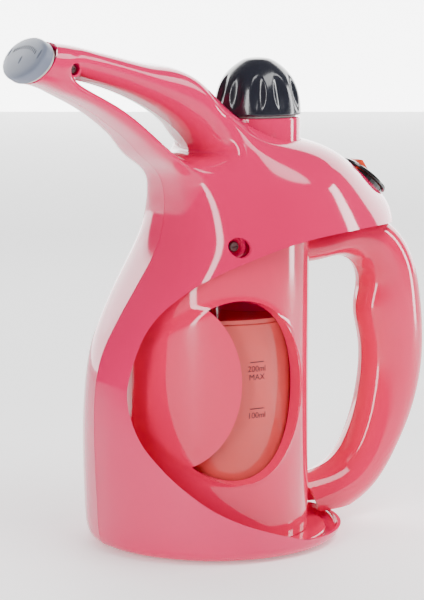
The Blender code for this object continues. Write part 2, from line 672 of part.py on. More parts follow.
for obj, mat in ((cap, SLATE), (insert, BLACK), (gasket, RUBBER)):
    obj.location = (CAP_X * MM, 0.0, 0.0)
    put(obj, mat)

# ---- rocker switch ----
bezel = oval("switch_bezel", BEZEL_L, BEZEL_W, FIT, BEZEL_T, 32)


def block(name, hx, hy, z0, z1):
    """Closed rectangular block in the local frame."""
    bpy.ops.mesh.primitive_cube_add(size=1.0)
    obj = bpy.context.active_object
    obj.name = name
    obj.data.name = name
    place(obj, Matrix.Translation((0, 0, (z0 + z1) / 2.0 * MM))
          @ Matrix.Diagonal((2 * hx * MM, 2 * hy * MM, (z1 - z0) * MM, 1.0)))
    return obj


hole = block("bezel_hole", ROCKER_L + FIT, ROCKER_W + FIT, -4.0, 8.0)
boolean(bezel, hole)
drop(hole)
put(place(bezel, SWITCH), BLACK)
body = oval("switch_body", BODY_L, BODY_W, -12.0, FIT - 0.3, 28)
hole = block("body_hole", ROCKER_L + FIT, ROCKER_W + FIT, -5.6, 8.0)
boolean(body, hole)
drop(hole)
put(place(body, SWITCH), BLACK)
ROCKER_SIDE = ((-ROCKER_L + 0.6, 5.2), (-3.0, 3.4), (3.0, 2.6), (ROCKER_L - 0.2, 1.6),
               (ROCKER_L - 1.6, -1.2), (2.0, -4.4), (-2.0, -4.4), (-ROCKER_L + 1.2, 0.4))
rocker = slab("switch_rocker", ROCKER_SIDE, -ROCKER_W, ROCKER_W)
rocker.location = (BEZEL_C[0] * MM, 0.0, BEZEL_C[1] * MM)
rocker.rotation_euler = (0.0, BEZEL_TILT, 0.0)
put(rocker, LAMP, False)
for k, name in enumerate(("switch_tab_a", "switch_tab_b")):
    tab = block(name, 0.4, 2.4, -17.0, -12.0 - FIT)
    put(place(tab, SWITCH @ at((k * 2 - 1) * 5.0, 0, 0)), STEEL, False)

# ---- heating parts under the tank ----
BOILER_TOP = 64.0
BOILER_FOOT = TANK_FLOOR + TANK_WALL + FIT
boiler = turned("boiler_cup", ((4.2, BOILER_TOP), (17.0, BOILER_TOP), (19.0, BOILER_TOP - 3.0),
                               (19.0, BOILER_FOOT), (17.0, BOILER_FOOT), (17.0, BOILER_TOP - 4.0),
                               (4.2, BOILER_TOP - 2.4)), 28)
put(place(boiler, AXIS), ALU)
boiler_seal = ring("boiler_seal", 3.9, 2.5, BOILER_TOP - 2.0, BOILER_TOP + 3.0, 24)
put(place(boiler_seal, AXIS), RUBBER)
heater = cylinder("heater_plate", 20.0, 17.6, TANK_FLOOR - FIT, 32)
put(place(heater, AXIS), ALU)
element = ring("heating_element", 15.0, 11.0, 13.2, 17.6 - FIT, 32)
put(place(element, AXIS), STEEL)
put(place(cylinder("thermostat", 7.0, 11.0, 17.6 - FIT, 24), AXIS), WHITE)
fuse = tube("thermal_fuse", ((-24.0, -6.0, 15.0), (-24.0, 0.0, 15.0), (-24.0, 6.0, 15.0)), 2.0, 3, 2)
put(fuse, WHITE)

# ---- base ----
SCREW_RING = 36.0
deck = cylinder("base_deck", BASE_R - 9.0, PLATE_T + FIT, PLATE_T + FIT + DECK_T, 48)
place(deck, at(BASE_X, 0, 0))
plate = cylinder("base_plate", BASE_R - 12.0, 0.0, PLATE_T, 48)
place(plate, at(BASE_X, 0, 0))
SCREW_TURNS = [math.radians(v) for v in (60, 180, 300)]
SPOTS = [(SCREW_RING * math.cos(a) + BASE_X, SCREW_RING * math.sin(a)) for a in SCREW_TURNS]
for (x, y) in SPOTS:
    pin = place(cylinder("pin_tool", 1.7, -2.0, 9.0, 16), at(x, y, 0))
    sink = place(cylinder("sink_tool", 3.4, -2.0, 1.9, 20), at(x, y, 0))
    boolean(deck, pin)
    boolean(plate, pin)
    boolean(plate, sink)
    drop(pin, sink)
put(deck, PINK_IN, False)
put(plate, PINK, False)


def screw(name, frame, length):
    """Pan-head screw, head at the local origin, shank toward -Z."""
    obj = turned(name, ((0.0, 0.0), (2.1, 0.0), (2.6, -0.5), (2.6, -1.5), (1.4, -1.5), (1.4, -length),
                        (0.0, -length - 0.8)), 16)
    cross = block("cross_tool", 1.6, 0.3, -0.8, 1.0)
    boolean(obj, cross)
    drop(cross)
    return put(place(obj, frame), STEEL, False)


for k, (x, y) in enumerate(SPOTS):
    screw("base_screw_%d" % (k + 1), at(x, y, 0.35) @ Matrix.Rotation(math.pi, 4, "X"), 5.6)
screw("neck_screw", NECK_AXIS @ at(0, 0, NECK_SEAT + 1.5 + 0.2), 22.0)
screw("side_screw", SIDE_AXIS @ at(0, 0, SIDE_SEAT + 1.5 + 0.2), 46.0)
LIVE_PATH = ((27.0, 31.0, 17.0), (23.0, 23.0, 15.4), (19.0, 16.5, 15.2), (15.6, 11.4, 15.2))
NEUTRAL_PATH = ((24.6, 32.8, 17.0), (17.0, 27.0, 15.4), (8.0, 22.0, 15.2), (3.0, 16.4, 15.2))
LEAD_R = 0.9
put(tube("lead_live", LIVE_PATH, LEAD_R, 1, 3), WIRE)
put(tube("lead_neutral", NEUTRAL_PATH, LEAD_R, 1, 3), WIRE)

for tool in (opening, collar_tool, seat_tool, body_tool, neck_bore, side_bore):
    drop(tool)
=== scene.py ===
"""Looks of a handheld garment steamer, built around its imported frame.

Sizes are millimetres in the frame's own axes: +Z up, the nozzle toward -X, the handle toward +X
and the mirror plane at Y = 0.
"""
from __future__ import annotations

import json
import logging
import math
from collections.abc import Callable, Iterable, Sequence
from dataclasses import dataclass
from enum import Enum

import bmesh
import bpy
from mathutils import Matrix, Vector


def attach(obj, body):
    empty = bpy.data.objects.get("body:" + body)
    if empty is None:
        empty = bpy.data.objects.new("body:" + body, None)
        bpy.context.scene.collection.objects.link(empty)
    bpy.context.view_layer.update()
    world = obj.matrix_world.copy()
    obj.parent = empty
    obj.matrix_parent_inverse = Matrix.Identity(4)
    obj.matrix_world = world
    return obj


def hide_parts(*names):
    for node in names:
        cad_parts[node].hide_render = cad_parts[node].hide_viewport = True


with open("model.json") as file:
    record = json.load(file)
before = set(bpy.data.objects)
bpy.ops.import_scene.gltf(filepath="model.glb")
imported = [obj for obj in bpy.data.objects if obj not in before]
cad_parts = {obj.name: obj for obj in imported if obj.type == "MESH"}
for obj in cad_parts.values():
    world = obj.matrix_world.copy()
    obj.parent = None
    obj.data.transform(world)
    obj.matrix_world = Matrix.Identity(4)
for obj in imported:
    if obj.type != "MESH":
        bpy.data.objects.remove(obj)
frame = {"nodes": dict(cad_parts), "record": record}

LOG = logging.getLogger("steamer")
MM = 0.001
Point2 = tuple[float, float]
Point3 = tuple[float, float, float]
GAP = 0.3                 # clearance between neighbouring pieces
HALF_GAP = GAP / 2.0
SOFT_LEVELS = 3           # subdivision of the moulded shells


class Side(Enum):
    """Which half of a two-half moulding: the sign of its Y."""

    LEFT = -1
    RIGHT = 1


class Body(Enum):
    """Rigid bodies of the frame."""

    STEAMER = "steamer"
    CAP = "cap"
    RISER = "cap_riser"
    ROCKER = "rocker"


# ---------------------------------------------------------------- finishes


class NodeBench:
    """A small helper that builds one material's node tree."""

    def __init__(self, name: str) -> None:
        """Start a material with a Principled shader and Object coordinates."""
        self.mat = bpy.data.materials.new(name)
        self.mat.use_nodes = True
        self.tree = self.mat.node_tree
        self.bsdf = self.tree.nodes["Principled BSDF"]
        self.coord = self.tree.nodes.new("ShaderNodeTexCoord")

    def noise(self, scale: float, detail: float = 3.0) -> bpy.types.NodeSocket:
        """Add a noise pattern.

        Args:
            scale: Pattern scale per metre.
            detail: Octaves of the noise.

        Returns:
            The socket with the noise value.
        """
        noise = self.tree.nodes.new("ShaderNodeTexNoise")
        noise.inputs["Scale"].default_value = scale
        noise.inputs["Detail"].default_value = detail
        self.tree.links.new(self.coord.outputs["Object"], noise.inputs["Vector"])
        return noise.outputs["Fac"]

    def spread(self, value: bpy.types.NodeSocket, low: float, high: float) -> bpy.types.NodeSocket:
        """Map the middle of a noise value to a range.

        Args:
            value: Noise value between 0 and 1.
            low: Result at 0.3.
            high: Result at 0.7.

        Returns:
            The socket with the mapped value.
        """
        node = self.tree.nodes.new("ShaderNodeMapRange")
        node.inputs["From Min"].default_value = 0.3
        node.inputs["From Max"].default_value = 0.7
        node.inputs["To Min"].default_value = low
        node.inputs["To Max"].default_value = high
        self.tree.links.new(value, node.inputs["Value"])
        return node.outputs["Result"]

    def tint(self, value: bpy.types.NodeSocket, low: Point3, high: Point3) -> None:
        """Blend the base colour between two tints."""
        mix = self.tree.nodes.new("ShaderNodeMix")
        mix.data_type = "RGBA"
        mix.inputs["A"].default_value = (*low, 1.0)
        mix.inputs["B"].default_value = (*high, 1.0)
        self.tree.links.new(value, mix.inputs["Factor"])
        self.tree.links.new(mix.outputs["Result"], self.bsdf.inputs["Base Color"])

    def rough(self, value: bpy.types.NodeSocket, low: float, high: float) -> None:
        """Vary the roughness between two values."""
        self.tree.links.new(self.spread(value, low, high), self.bsdf.inputs["Roughness"])

    def bump(self, value: bpy.types.NodeSocket, strength: float, depth: float) -> None:
        """Add a fine bump of a real depth in metres."""
        node = self.tree.nodes.new("ShaderNodeBump")
        node.inputs["Strength"].default_value = strength
        node.inputs["Distance"].default_value = depth
        self.tree.links.new(value, node.inputs["Height"])
        self.tree.links.new(node.outputs["Normal"], self.bsdf.inputs["Normal"])

    def plain(self, **values: float) -> None:
        """Set shader sockets by name, with underscores for spaces."""
        for key, value in values.items():
            self.bsdf.inputs[key.replace("_", " ")].default_value = value


@dataclass(frozen=True)
class Finish:
    """A moulded or metal finish with colour drift, uneven gloss and a fine surface; a non-zero glow paints
    light onto it.
    """

    name: str
    light: Point3
    dark: Point3
    rough: Point2 = (0.1, 0.2)
    grain: float = 900.0
    grain_depth: float = 0.00001
    grain_strength: float = 0.1
    metal: float = 0.0
    clear: float = 0.0
    coat: float = 0.0
    under: float = 0.0
    ior: float = 1.46
    # glow: painted light, an emission for parts that give off no light of their own
    glow: float = 0.0

    def build(self) -> bpy.types.Material:
        """Make the material.

        Returns:
            The finished Blender material.
        """
        bench = NodeBench(self.name)
        drift = bench.noise(9.0, 2.0)
        bench.tint(bench.spread(drift, 0.0, 1.0), self.dark, self.light)
        bench.rough(bench.noise(38.0, 4.0), *self.rough)
        bench.bump(bench.noise(self.grain, 2.0), self.grain_strength, self.grain_depth)
        bench.plain(Metallic=self.metal, Transmission_Weight=self.clear, Coat_Weight=self.coat,
                    Coat_Roughness=0.04, Subsurface_Weight=self.under, Subsurface_Scale=0.004, IOR=self.ior)
        if self.under:
            bench.bsdf.inputs["Subsurface Radius"].default_value = (1.0, 0.25, 0.3)
        # Painted glow: the part gives off light in its own light colour, though it is no lamp.
        if self.glow:
            bench.bsdf.inputs["Emission Color"].default_value = (*self.light, 1.0)
            bench.plain(Emission_Strength=self.glow)
        return bench.mat


class Palette:
    """All finishes of the steamer, made once and looked up by the frame's slot names."""

    # The pink shell's glow is painted light that lifts its red; the shell gives off no light.
    PINK = Finish("pink shell", (0.66, 0.003, 0.092), (0.61, 0.002, 0.078), (0.05, 0.10),
                  coat=0.15, glow=0.06)
    # The housing's glow is painted light that keeps its inside from going dark.
    INNER = Finish("pink housing", (0.68, 0.004, 0.074), (0.63, 0.003, 0.060), (0.05, 0.10),
                   coat=0.15, glow=0.10)
    SLATE = Finish("slate cap", (0.014, 0.015, 0.023), (0.009, 0.010, 0.016), (0.16, 0.26), coat=0.2)
    GREY = Finish("grey nozzle", (0.155, 0.175, 0.235), (0.125, 0.145, 0.200), (0.38, 0.50),
                  2400.0, 0.00003, 0.35)
    BLACK = Finish("black plastic", (0.020, 0.018, 0.020), (0.012, 0.011, 0.012), (0.12, 0.22), coat=0.3)
    # The rocker's glow is painted light; the rocker is no lamp.
    ROCKER = Finish("clear red rocker", (0.90, 0.10, 0.03), (0.80, 0.05, 0.02), (0.05, 0.10),
                    clear=0.35, glow=0.15)
    TANK = Finish("clear tank", (0.88, 0.12, 0.11), (0.82, 0.09, 0.085), (0.10, 0.18), clear=0.40, ior=1.42)
    RUBBER = Finish("seal rubber", (0.60, 0.58, 0.55), (0.50, 0.48, 0.46), (0.55, 0.70), 1600.0, 0.00004, 0.4)
    # Screw steel darkened and tinted red: painted shade of the deep wells and painted reflection of the pink
    # walls around them.
    STEEL_PAINTED_SHADE_AND_REFLECTION = Finish("screw steel", (0.26, 0.20, 0.20), (0.18, 0.13, 0.13), (0.22, 0.38), 3000.0, metal=1.0)
    CAST = Finish("cast aluminium", (0.68, 0.69, 0.71), (0.55, 0.56, 0.58), (0.35, 0.55),
                  1500.0, 0.00006, 0.5, 1.0)
    SLEEVE = Finish("wire sleeve", (0.34, 0.28, 0.25), (0.24, 0.20, 0.18), (0.6, 0.8), 5000.0, 0.0001, 0.6)
    WHITE = Finish("white plastic", (0.82, 0.81, 0.78), (0.74, 0.73, 0.70), (0.3, 0.45))
    INK = Finish("printed ink", (0.055, 0.010, 0.014), (0.035, 0.006, 0.010), (0.4, 0.6))
    # Near-black blocks standing for the nozzle's small slots: painted shade in place of cut holes.
    SLOT_SHADE = Finish("slot shade", (0.012, 0.012, 0.016), (0.006, 0.006, 0.010), (0.7, 0.9))
    SLOTS = {
        "pink_shell": PINK, "pink_housing": INNER, "slate_cap": SLATE, "grey_nozzle": GREY,
        "black_plastic": BLACK, "red_rocker": ROCKER, "clear_tank": TANK, "seal_rubber": RUBBER,
        "screw_steel": STEEL_PAINTED_SHADE_AND_REFLECTION, "cast_aluminium": CAST, "wire_sleeve": SLEEVE, "white_plastic": WHITE,
    }

    def __init__(self) -> None:
        """Start with no material made."""
        self.made: dict[str, bpy.types.Material] = {}

    def get(self, finish: Finish) -> bpy.types.Material:
        """The material of a finish, made on first use."""
        if finish.name not in self.made:
            self.made[finish.name] = finish.build()
        return self.made[finish.name]


# ---------------------------------------------------------------- mesh workshop


class Shop:
    """Mesh tools shared by every piece. All shapes are made in place, in metres."""

    @staticmethod
    def link(name: str, mesh: bpy.types.Mesh) -> bpy.types.Object:
        """Put a mesh in the scene as an object at the origin."""
        obj = bpy.data.objects.new(name, mesh)
        bpy.context.scene.collection.objects.link(obj)
        return obj

    @staticmethod
    def surface(name: str, rows: Sequence[Sequence[Point3]], skip: Callable[[int, int], bool] | None = None,
                loop: bool = False) -> bpy.types.Object:
        """Make a quad surface from rows of points.

        Args:
            name: Object name.
            rows: Rows of (x, y, z) millimetre points, all of one length.
            skip: Says which (row, column) faces to leave out.
            loop: Whether each row closes on itself.

        Returns:
            The new open surface.
        """
        count = len(rows[0])
        faces = []
        for i in range(len(rows) - 1):
            for k in range(count if loop else count - 1):
                if skip and skip(i, k):
                    continue
                n = (k + 1) % count
                faces.append((i * count + k, i * count + n, (i + 1) * count + n, (i + 1) * count + k))
        mesh = bpy.data.meshes.new(name)
        mesh.from_pydata([tuple(c * MM for c in p) for row in rows for p in row], [], faces)
        mesh.update()
        return Shop.link(name, mesh)

    @staticmethod
    def bake(obj: bpy.types.Object) -> bpy.types.Object:
        """Turn an object's modifiers into its mesh."""
        bpy.context.view_layer.update()
        graph = bpy.context.evaluated_depsgraph_get()
        mesh = bpy.data.meshes.new_from_object(obj.evaluated_get(graph))
        obj.modifiers.clear()
        obj.data = mesh
        bpy.context.view_layer.update()
        return obj

    @staticmethod
    def outward(obj: bpy.types.Object) -> bpy.types.Object:
        """Merge doubles and make a closed mesh face outwards."""
        bm = bmesh.new()
        bm.from_mesh(obj.data)
        bmesh.ops.remove_doubles(bm, verts=bm.verts, dist=1e-6)
        bmesh.ops.recalc_face_normals(bm, faces=bm.faces)
        if bm.calc_volume(signed=True) < 0.0:
            bmesh.ops.reverse_faces(bm, faces=bm.faces)
        bm.to_mesh(obj.data)
        bm.free()
        return obj

    @staticmethod
    def move(obj: bpy.types.Object, matrix: Matrix) -> bpy.types.Object:
        """Move a mesh, leaving its object at the origin."""
        obj.data.transform(matrix)
        obj.data.update()
        return obj

    @staticmethod
    def lathe(name: str, profile: Sequence[Point2], steps: int = 96,
              push: Callable[[float, float, float], float] | None = None) -> bpy.types.Object:
        """Turn a (radius, z) profile about Z into a closed mesh.

        Args:
            name: Object name.
            profile: Points from the axis or a closed ring section.
            steps: Segments round the axis.
            push: Gives the change of radius at (angle, radius, z).

        Returns:
            The turned solid.
        """
        rows = []
        closed = profile[0][0] > 1e-6
        points = list(profile) + ([profile[0]] if closed else [])
        for radius, z in points:
            row = []
            for k in range(steps):
                a = 2.0 * math.pi * k / steps
                r = max(0.0, radius + (push(a, radius, z) if push else 0.0))
                row.append((r * math.cos(a), r * math.sin(a), z))
            rows.append(row)
        return Shop.outward(Shop.surface(name, rows, loop=True))

    @staticmethod
    def slab(name: str, outline: Sequence[Point2], y0: float, y1: float, grow: float = 1.0,
             about: Point2 = (0.0, 0.0)) -> bpy.types.Object:
        """Extrude an (x, z) outline along Y into a closed block.

        Args:
            name: Object name.
            outline: Corner points.
            y0: Near end.
            y1: Far end.
            grow: Scale of the outline at the far end.
            about: Centre of that scale.

        Returns:
            The new block.
        """
        bm = bmesh.new()
        near = [bm.verts.new((x * MM, y0 * MM, z * MM)) for x, z in outline]
        far = [bm.verts.new(((about[0] + (x - about[0]) * grow) * MM, y1 * MM,
                             (about[1] + (z - about[1]) * grow) * MM)) for x, z in outline]
        bm.faces.new(near)
        bm.faces.new(far)
        for k in range(len(outline)):
            n = (k + 1) % len(outline)
            bm.faces.new((near[k], near[n], far[n], far[k]))
        mesh = bpy.data.meshes.new(name)
        bm.to_mesh(mesh)
        bm.free()
        return Shop.outward(Shop.link(name, mesh))

    @staticmethod
    def oval(name: str, half_x: float, half_y: float, z0: float, z1: float,
             steps: int = 64) -> bpy.types.Object:
        """Upright oval plate in the local frame."""
        obj = Shop.lathe(name, ((0.0, z1), (1.0, z1), (1.0, z0), (0.0, z0)), steps)
        return Shop.move(obj, Matrix.Diagonal((half_x, half_y, 1.0, 1.0)))

    @staticmethod
    def boolean(obj: bpy.types.Object, tools: Iterable[bpy.types.Object], kind: str = "DIFFERENCE") -> None:
        """Cut or join with each tool in turn, then remove the tools."""
        for tool in tools:
            mod = obj.modifiers.new("bool", "BOOLEAN")
            mod.operation = kind
            mod.solver = "EXACT"
            mod.object = tool
            Shop.bake(obj)
            bpy.data.objects.remove(tool)

    @staticmethod
    def soften(obj: bpy.types.Object, levels: int) -> None:
        """Subdivide a cage softly and keep the result."""
        sub = obj.modifiers.new("soft", "SUBSURF")
        sub.levels = levels
        sub.render_levels = levels
        Shop.bake(obj)

    @staticmethod
    def wall(obj: bpy.types.Object, thickness: float, side: Side) -> None:
        """Give an open half surface an inward wall that stays on its side of the parting plane."""
        if side is Side.RIGHT:
            obj.data.flip_normals()
        solid = obj.modifiers.new("wall", "SOLIDIFY")
        solid.thickness = thickness * MM
        solid.offset = -1.0
        Shop.bake(obj)
        for vert in obj.data.vertices:
            if vert.co.y * side.value < HALF_GAP * MM:
                vert.co.y = side.value * HALF_GAP * MM
        Shop.outward(obj)

    @staticmethod
    def round_edges(obj: bpy.types.Object, width: float, angle: float = 40.0, segments: int = 3) -> None:
        """Round the sharp edges of a mesh and keep the result."""
        bevel = obj.modifiers.new("edge", "BEVEL")
        bevel.width = width * MM
        bevel.segments = segments
        bevel.limit_method = "ANGLE"
        bevel.angle_limit = math.radians(angle)
        bevel.harden_normals = False
        Shop.bake(obj)


@dataclass
class Assembly:
    """Base of every sub-assembly: it dresses its pieces and reports them."""

    palette: Palette

    def dress(self, obj: bpy.types.Object, finish: Finish, slot: str, body: Body, nodes: Sequence[str],
              sharp: float = 35.0) -> bpy.types.Object:
        """Give a piece its finish, body and the frame nodes it stands for.

        Args:
            obj: The piece.
            finish: Its finish.
            slot: The record's material slot; not used.
            body: The body it moves with.
            nodes: Frame nodes it replaces.
            sharp: Angle in degrees past which edges stay sharp.

        Returns:
            The dressed piece.
        """
        obj.data.materials.clear()
        obj.data.materials.append(self.palette.get(finish))
        obj.data.shade_smooth()
        obj.data.set_sharp_from_angle(angle=math.radians(sharp))
        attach(obj, body.value)
        if nodes:
            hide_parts(*nodes)
        LOG.info("%s: %d faces on %s", obj.name, len(obj.data.polygons), body.value)
        return obj


def at(x: float, y: float, z: float) -> Matrix:
    """Translation in millimetres."""
    return Matrix.Translation((x * MM, y * MM, z * MM))


def leaning(x: float, z: float, angle: float) -> Matrix:
    """Frame on the mirror plane whose Z axis leans toward +X by an angle in radians."""
    return at(x, 0.0, z) @ Matrix.Rotation(angle, 4, "Y")


def ellipse(centre: Point2, radii: Point2, steps: int, offset: float = 0.0) -> list[Point2]:
    """Points of an ellipse in the side view."""
    turns = [2.0 * math.pi * k / steps + offset for k in range(steps)]
    return [(centre[0] + radii[0] * math.cos(a), centre[1] + radii[1] * math.sin(a)) for a in turns]


# Edge of the cowl's side opening in the side view, from the tail round to the skirt.
OPENING: tuple[Point2, ...] = (
    (92.0, 153.0), (70.0, 153.8), (44.0, 153.2), (23.5, 151.2), (7.5, 147.7), (-7.2, 142.7),
    (-20.5, 136.8), (-32.5, 129.1), (-44.1, 117.5), (-52.8, 103.3), (-58.1, 86.8), (-59.1, 72.7),
    (-56.4, 58.1), (-50.4, 46.6), (-42.0, 36.1), (-30.1, 26.1), (-14.1, 18.2), (6.2, 11.4),
    (19.3, 8.0), (40.0, 6.9),
)


def smooth_line(points: Sequence[Point2], parts: int = 4) -> list[Point2]:
    """Pass a smooth curve through points.

    Args:
        points: The points to pass through.
        parts: Steps between neighbours.

    Returns:
        The denser line, both ends kept.
    """
    line: list[Point2] = []
    for i in range(len(points) - 1):
        p0, p1, p2 = points[max(i - 1, 0)], points[i], points[i + 1]
        p3 = points[min(i + 2, len(points) - 1)]
        for k in range(parts):
            t = k / parts
            line.append(tuple(
                0.5 * (2 * b + (c - a) * t + (2 * a - 5 * b + 4 * c - d) * t * t
                       + (3 * b - a - 3 * c + d) * t ** 3)
                for a, b, c, d in zip(p0, p1, p2, p3)))
    line.append(points[-1])
    return line


# ---------------------------------------------------------------- moulded shells


@dataclass
class Cowl(Assembly):
    """Two-half outer moulding: split spout, shoulders, tail and round skirt."""

    wall_mm: float = 1.7
    skirt_radius: float = 64.6
    skirt_centre: float = 1.2
    skirt_lift: float = 0.4
    tail_z: float = 151.6
    rim_z: float = 6.9
    cap_x: float = 25.7
    collar_radius: float = 21.2
    # Screw wells of the left half, neck and side: axis (x, z), radius, start of the cut, floor, mouth.
    wells: tuple[tuple, ...] = (((-83.0, 233.5), 2.9, 10.0, 13.0, 17.0),
                                ((-10.4, 149.1), 4.7, 30.0, 37.5, 40.0))
    well_wall: float = 0.9
    well_floor: float = 1.2
    # Cutters run well past the shell; the tiny shifts keep their faces off its vertices.
    cut_reach: float = 90.0
    cut_back: float = 150.0
    well_reach: float = 70.0
    collar_cut: Point2 = (170.0, 220.0)
    collar_shift: float = 0.013
    seat_high: float = 14.0
    seat_shift: Point2 = (0.011, 0.017)
    tip_stations: int = 3
    arm_steps: tuple[float, ...] = (0.0, 0.13, 0.29, 0.47, 0.65, 0.84, 1.0)
    strap_steps: tuple[float, ...] = (0.0, 0.20, 0.44, 0.70, 0.87, 1.0)
    tip_steps: tuple[float, ...] = (0.0, 0.07, 0.16, 0.26, 0.36, 0.44, 0.485, 0.515, 0.55, 0.61, 0.70, 0.81,
                                    0.91, 1.0)
    fan_steps: tuple[float, ...] = (0.0, 0.08, 0.17, 0.26, 0.35, 0.44, 0.52, 0.59, 0.66, 0.73, 0.81, 0.88,
                                    0.94, 1.0)
    # Neck stations: top line, upper slit edge, lower slit edge, front line, half widths of arm and strap.
    neck: tuple[tuple, ...] = (
        ((-89.4, 245.7), (-95.6, 237.0), (-96.8, 235.0), (-100.9, 226.4), 20.6, 20.6),
        ((-84.0, 245.2), (-89.6, 235.6), (-91.0, 233.4), (-95.0, 225.2), 20.6, 20.6),
        ((-78.3, 244.2), (-81.8, 231.8), (-83.4, 230.0), (-88.0, 222.6), 20.6, 20.6),
        ((-74.6, 243.4), (-73.6, 227.6), (-77.0, 226.4), (-82.6, 220.4), 20.6, 20.8),
        ((-62.3, 240.6), (-57.6, 222.9), (-65.2, 220.4), (-71.8, 215.5), 20.8, 21.0),
        ((-51.0, 237.7), (-44.6, 217.8), (-55.6, 215.2), (-62.0, 209.7), 21.6, 21.6),
        ((-40.7, 235.2), (-32.4, 211.6), (-47.8, 209.2), (-53.6, 203.6), 23.0, 22.6),
        ((-31.5, 234.4), (-22.6, 204.6), (-41.0, 202.8), (-46.2, 197.8), 24.8, 24.0),
        ((-22.8, 232.6), (-15.4, 197.8), (-35.4, 197.0), (-40.6, 191.4), 27.0, 27.2),
        ((-14.7, 227.9), (-11.0, 190.2), (-31.0, 192.6), (-35.2, 187.0), 29.6, 30.2),
    )
    # Body stations: top line, bend point, front line, half width, fullness at the top and at the front.
    fan: tuple[tuple, ...] = (
        ((-5.1, 219.0), (4.0, 186.0), (-29.4, 182.0), 32.6, 0.85, 0.50),
        ((7.1, 209.0), (12.0, 178.0), (-26.6, 174.5), 37.0, 0.90, 0.50),
        ((22.1, 202.0), (16.0, 170.0), (-26.4, 163.6), 42.5, 0.90, 0.52),
        ((42.1, 197.8), (18.0, 162.0), (-28.0, 151.4), 47.0, 0.86, 0.54),
        ((61.0, 193.6), (18.0, 154.0), (-34.6, 138.4), 50.5, 0.92, 0.58),
        ((76.5, 184.4), (18.0, 144.0), (-44.9, 123.6), 52.4, 1.05, 0.64),
        ((92.0, 172.2), (18.0, 133.0), (-54.0, 109.2), 54.2, 1.30, 0.74),
        ((102.4, 163.6), (16.0, 118.0), (-61.6, 96.2), 56.6, 1.45, 0.88),
        ((106.8, 151.0), (12.0, 100.0), (-65.0, 81.0), 60.2, 1.40, 1.00),
        ((91.0, 104.5), (6.0, 76.0), (-65.6, 61.0), 63.0, 1.00, 1.00),
        ((75.0, 61.0), (2.0, 48.0), (-65.0, 41.0), 64.0, 1.00, 1.00),
        ((67.4, 26.0), (1.5, 24.0), (-64.0, 22.5), 64.6, 1.00, 1.00),
    )
    # Skirt rings: height above the skirt's edge and how far inside the skirt radius.
    skirt: tuple[Point2, ...] = ((7.6, 0.0), (1.9, 1.9), (0.0, 8.2))

    @staticmethod
    def bulge(half: float, t: float, fullness: float) -> float:
        """Distance from the mirror plane along a half section."""
        return half * math.sin(math.pi * t) ** fullness if 1e-6 < t < 1.0 - 1e-6 else HALF_GAP

    @staticmethod
    def half_loop(start: Point2, end: Point2, half: float, t: float, full_a: float, full_b: float) -> Point3:
        """Point of a half section that leaves and rejoins the mirror plane.

        Args:
            start: First point on the mirror plane.
            end: Last point on the mirror plane.
            half: Half width of the section.
            t: Position along it, 0 to 1.
            full_a: Fullness of the first half.
            full_b: Fullness of the second half.

        Returns:
            The point, on the left side.
        """
        s = (1.0 - math.cos(math.pi * t)) / 2.0
        out = Cowl.bulge(half, t, full_a if t < 0.5 else full_b)
        return (start[0] + (end[0] - start[0]) * s, -out, start[1] + (end[1] - start[1]) * s)

    def cage(self) -> list[list[Point3]]:
        """Cage of the left half: rows run from the top line over the side to the front line."""
        rows: list[list[Point3]] = []
        for i, (top, upper, lower, front, arm, strap) in enumerate(self.neck):
            if i < self.tip_stations:
                rows.append([self.half_loop(top, front, arm, t, 0.60, 0.60) for t in self.tip_steps])
                continue
            row = [self.half_loop(top, upper, arm, t, 0.60, 0.95) for t in self.arm_steps]
            row.append(((upper[0] + lower[0]) / 2.0, -HALF_GAP, (upper[1] + lower[1]) / 2.0))
            row += [self.half_loop(lower, front, strap, t, 0.95, 0.50) for t in self.strap_steps]
            rows.append(row)
        for top, bend, front, half, full_a, full_b in self.fan:
            row = []
            for t in self.fan_steps:
                s = (1.0 - math.cos(math.pi * t)) / 2.0
                weights = ((1 - s) ** 2, 2 * s * (1 - s), s * s)
                x = sum(w * p[0] for w, p in zip(weights, (top, bend, front)))
                z = sum(w * p[1] for w, p in zip(weights, (top, bend, front)))
                row.append((x, -self.bulge(half, t, full_a if t < 0.5 else full_b), z))
            rows.append(row)
        for lift, inset in self.skirt:
            r = self.skirt_radius - inset
            rows.append([(self.skirt_centre + r * math.cos(math.pi * t), -self.bulge(r, t, 1.0),
                          self.skirt_lift + lift) for t in self.fan_steps])
        return rows

    def in_slit(self, i: int, k: int) -> bool:
        """Whether a cage face belongs to the slit in the neck."""
        first = len(self.arm_steps) - 1
        return self.tip_stations <= i < len(self.neck) - 1 and first <= k < first + 2

    def tools(self, side: Side) -> list[bpy.types.Object]:
        """Cutters for the side opening, the collar, the switch and, on the left, the screw wells."""
        edge = smooth_line(OPENING)
        outline = [(self.cut_back, self.tail_z), (105.0, self.tail_z)] + edge
        outline += [(60.0, self.rim_z), (self.cut_back, self.rim_z)]
        around = self.collar_radius + GAP
        collar = Shop.oval("collar_tool", around, around, *self.collar_cut)
        seat = Shop.oval("seat_tool", Switch.bezel_l + GAP, Switch.bezel_w + GAP, 0.0, self.seat_high)
        cuts = [
            Shop.slab("opening_tool", outline, -self.cut_reach, self.cut_reach),
            Shop.move(collar, at(self.cap_x, self.collar_shift, 0.0)),
            Shop.move(seat, Switch.frame() @ at(*self.seat_shift, 0.0)),
        ]
        if side is Side.LEFT:
            sideways = Matrix.Rotation(math.pi / 2.0, 4, "X")
            for (x, z), radius, near, _, _ in self.wells:
                well = Shop.oval("well_tool", radius, radius, near, self.well_reach, 40)
                cuts.append(Shop.move(well, at(x, 0.0, z) @ sideways))
        return cuts

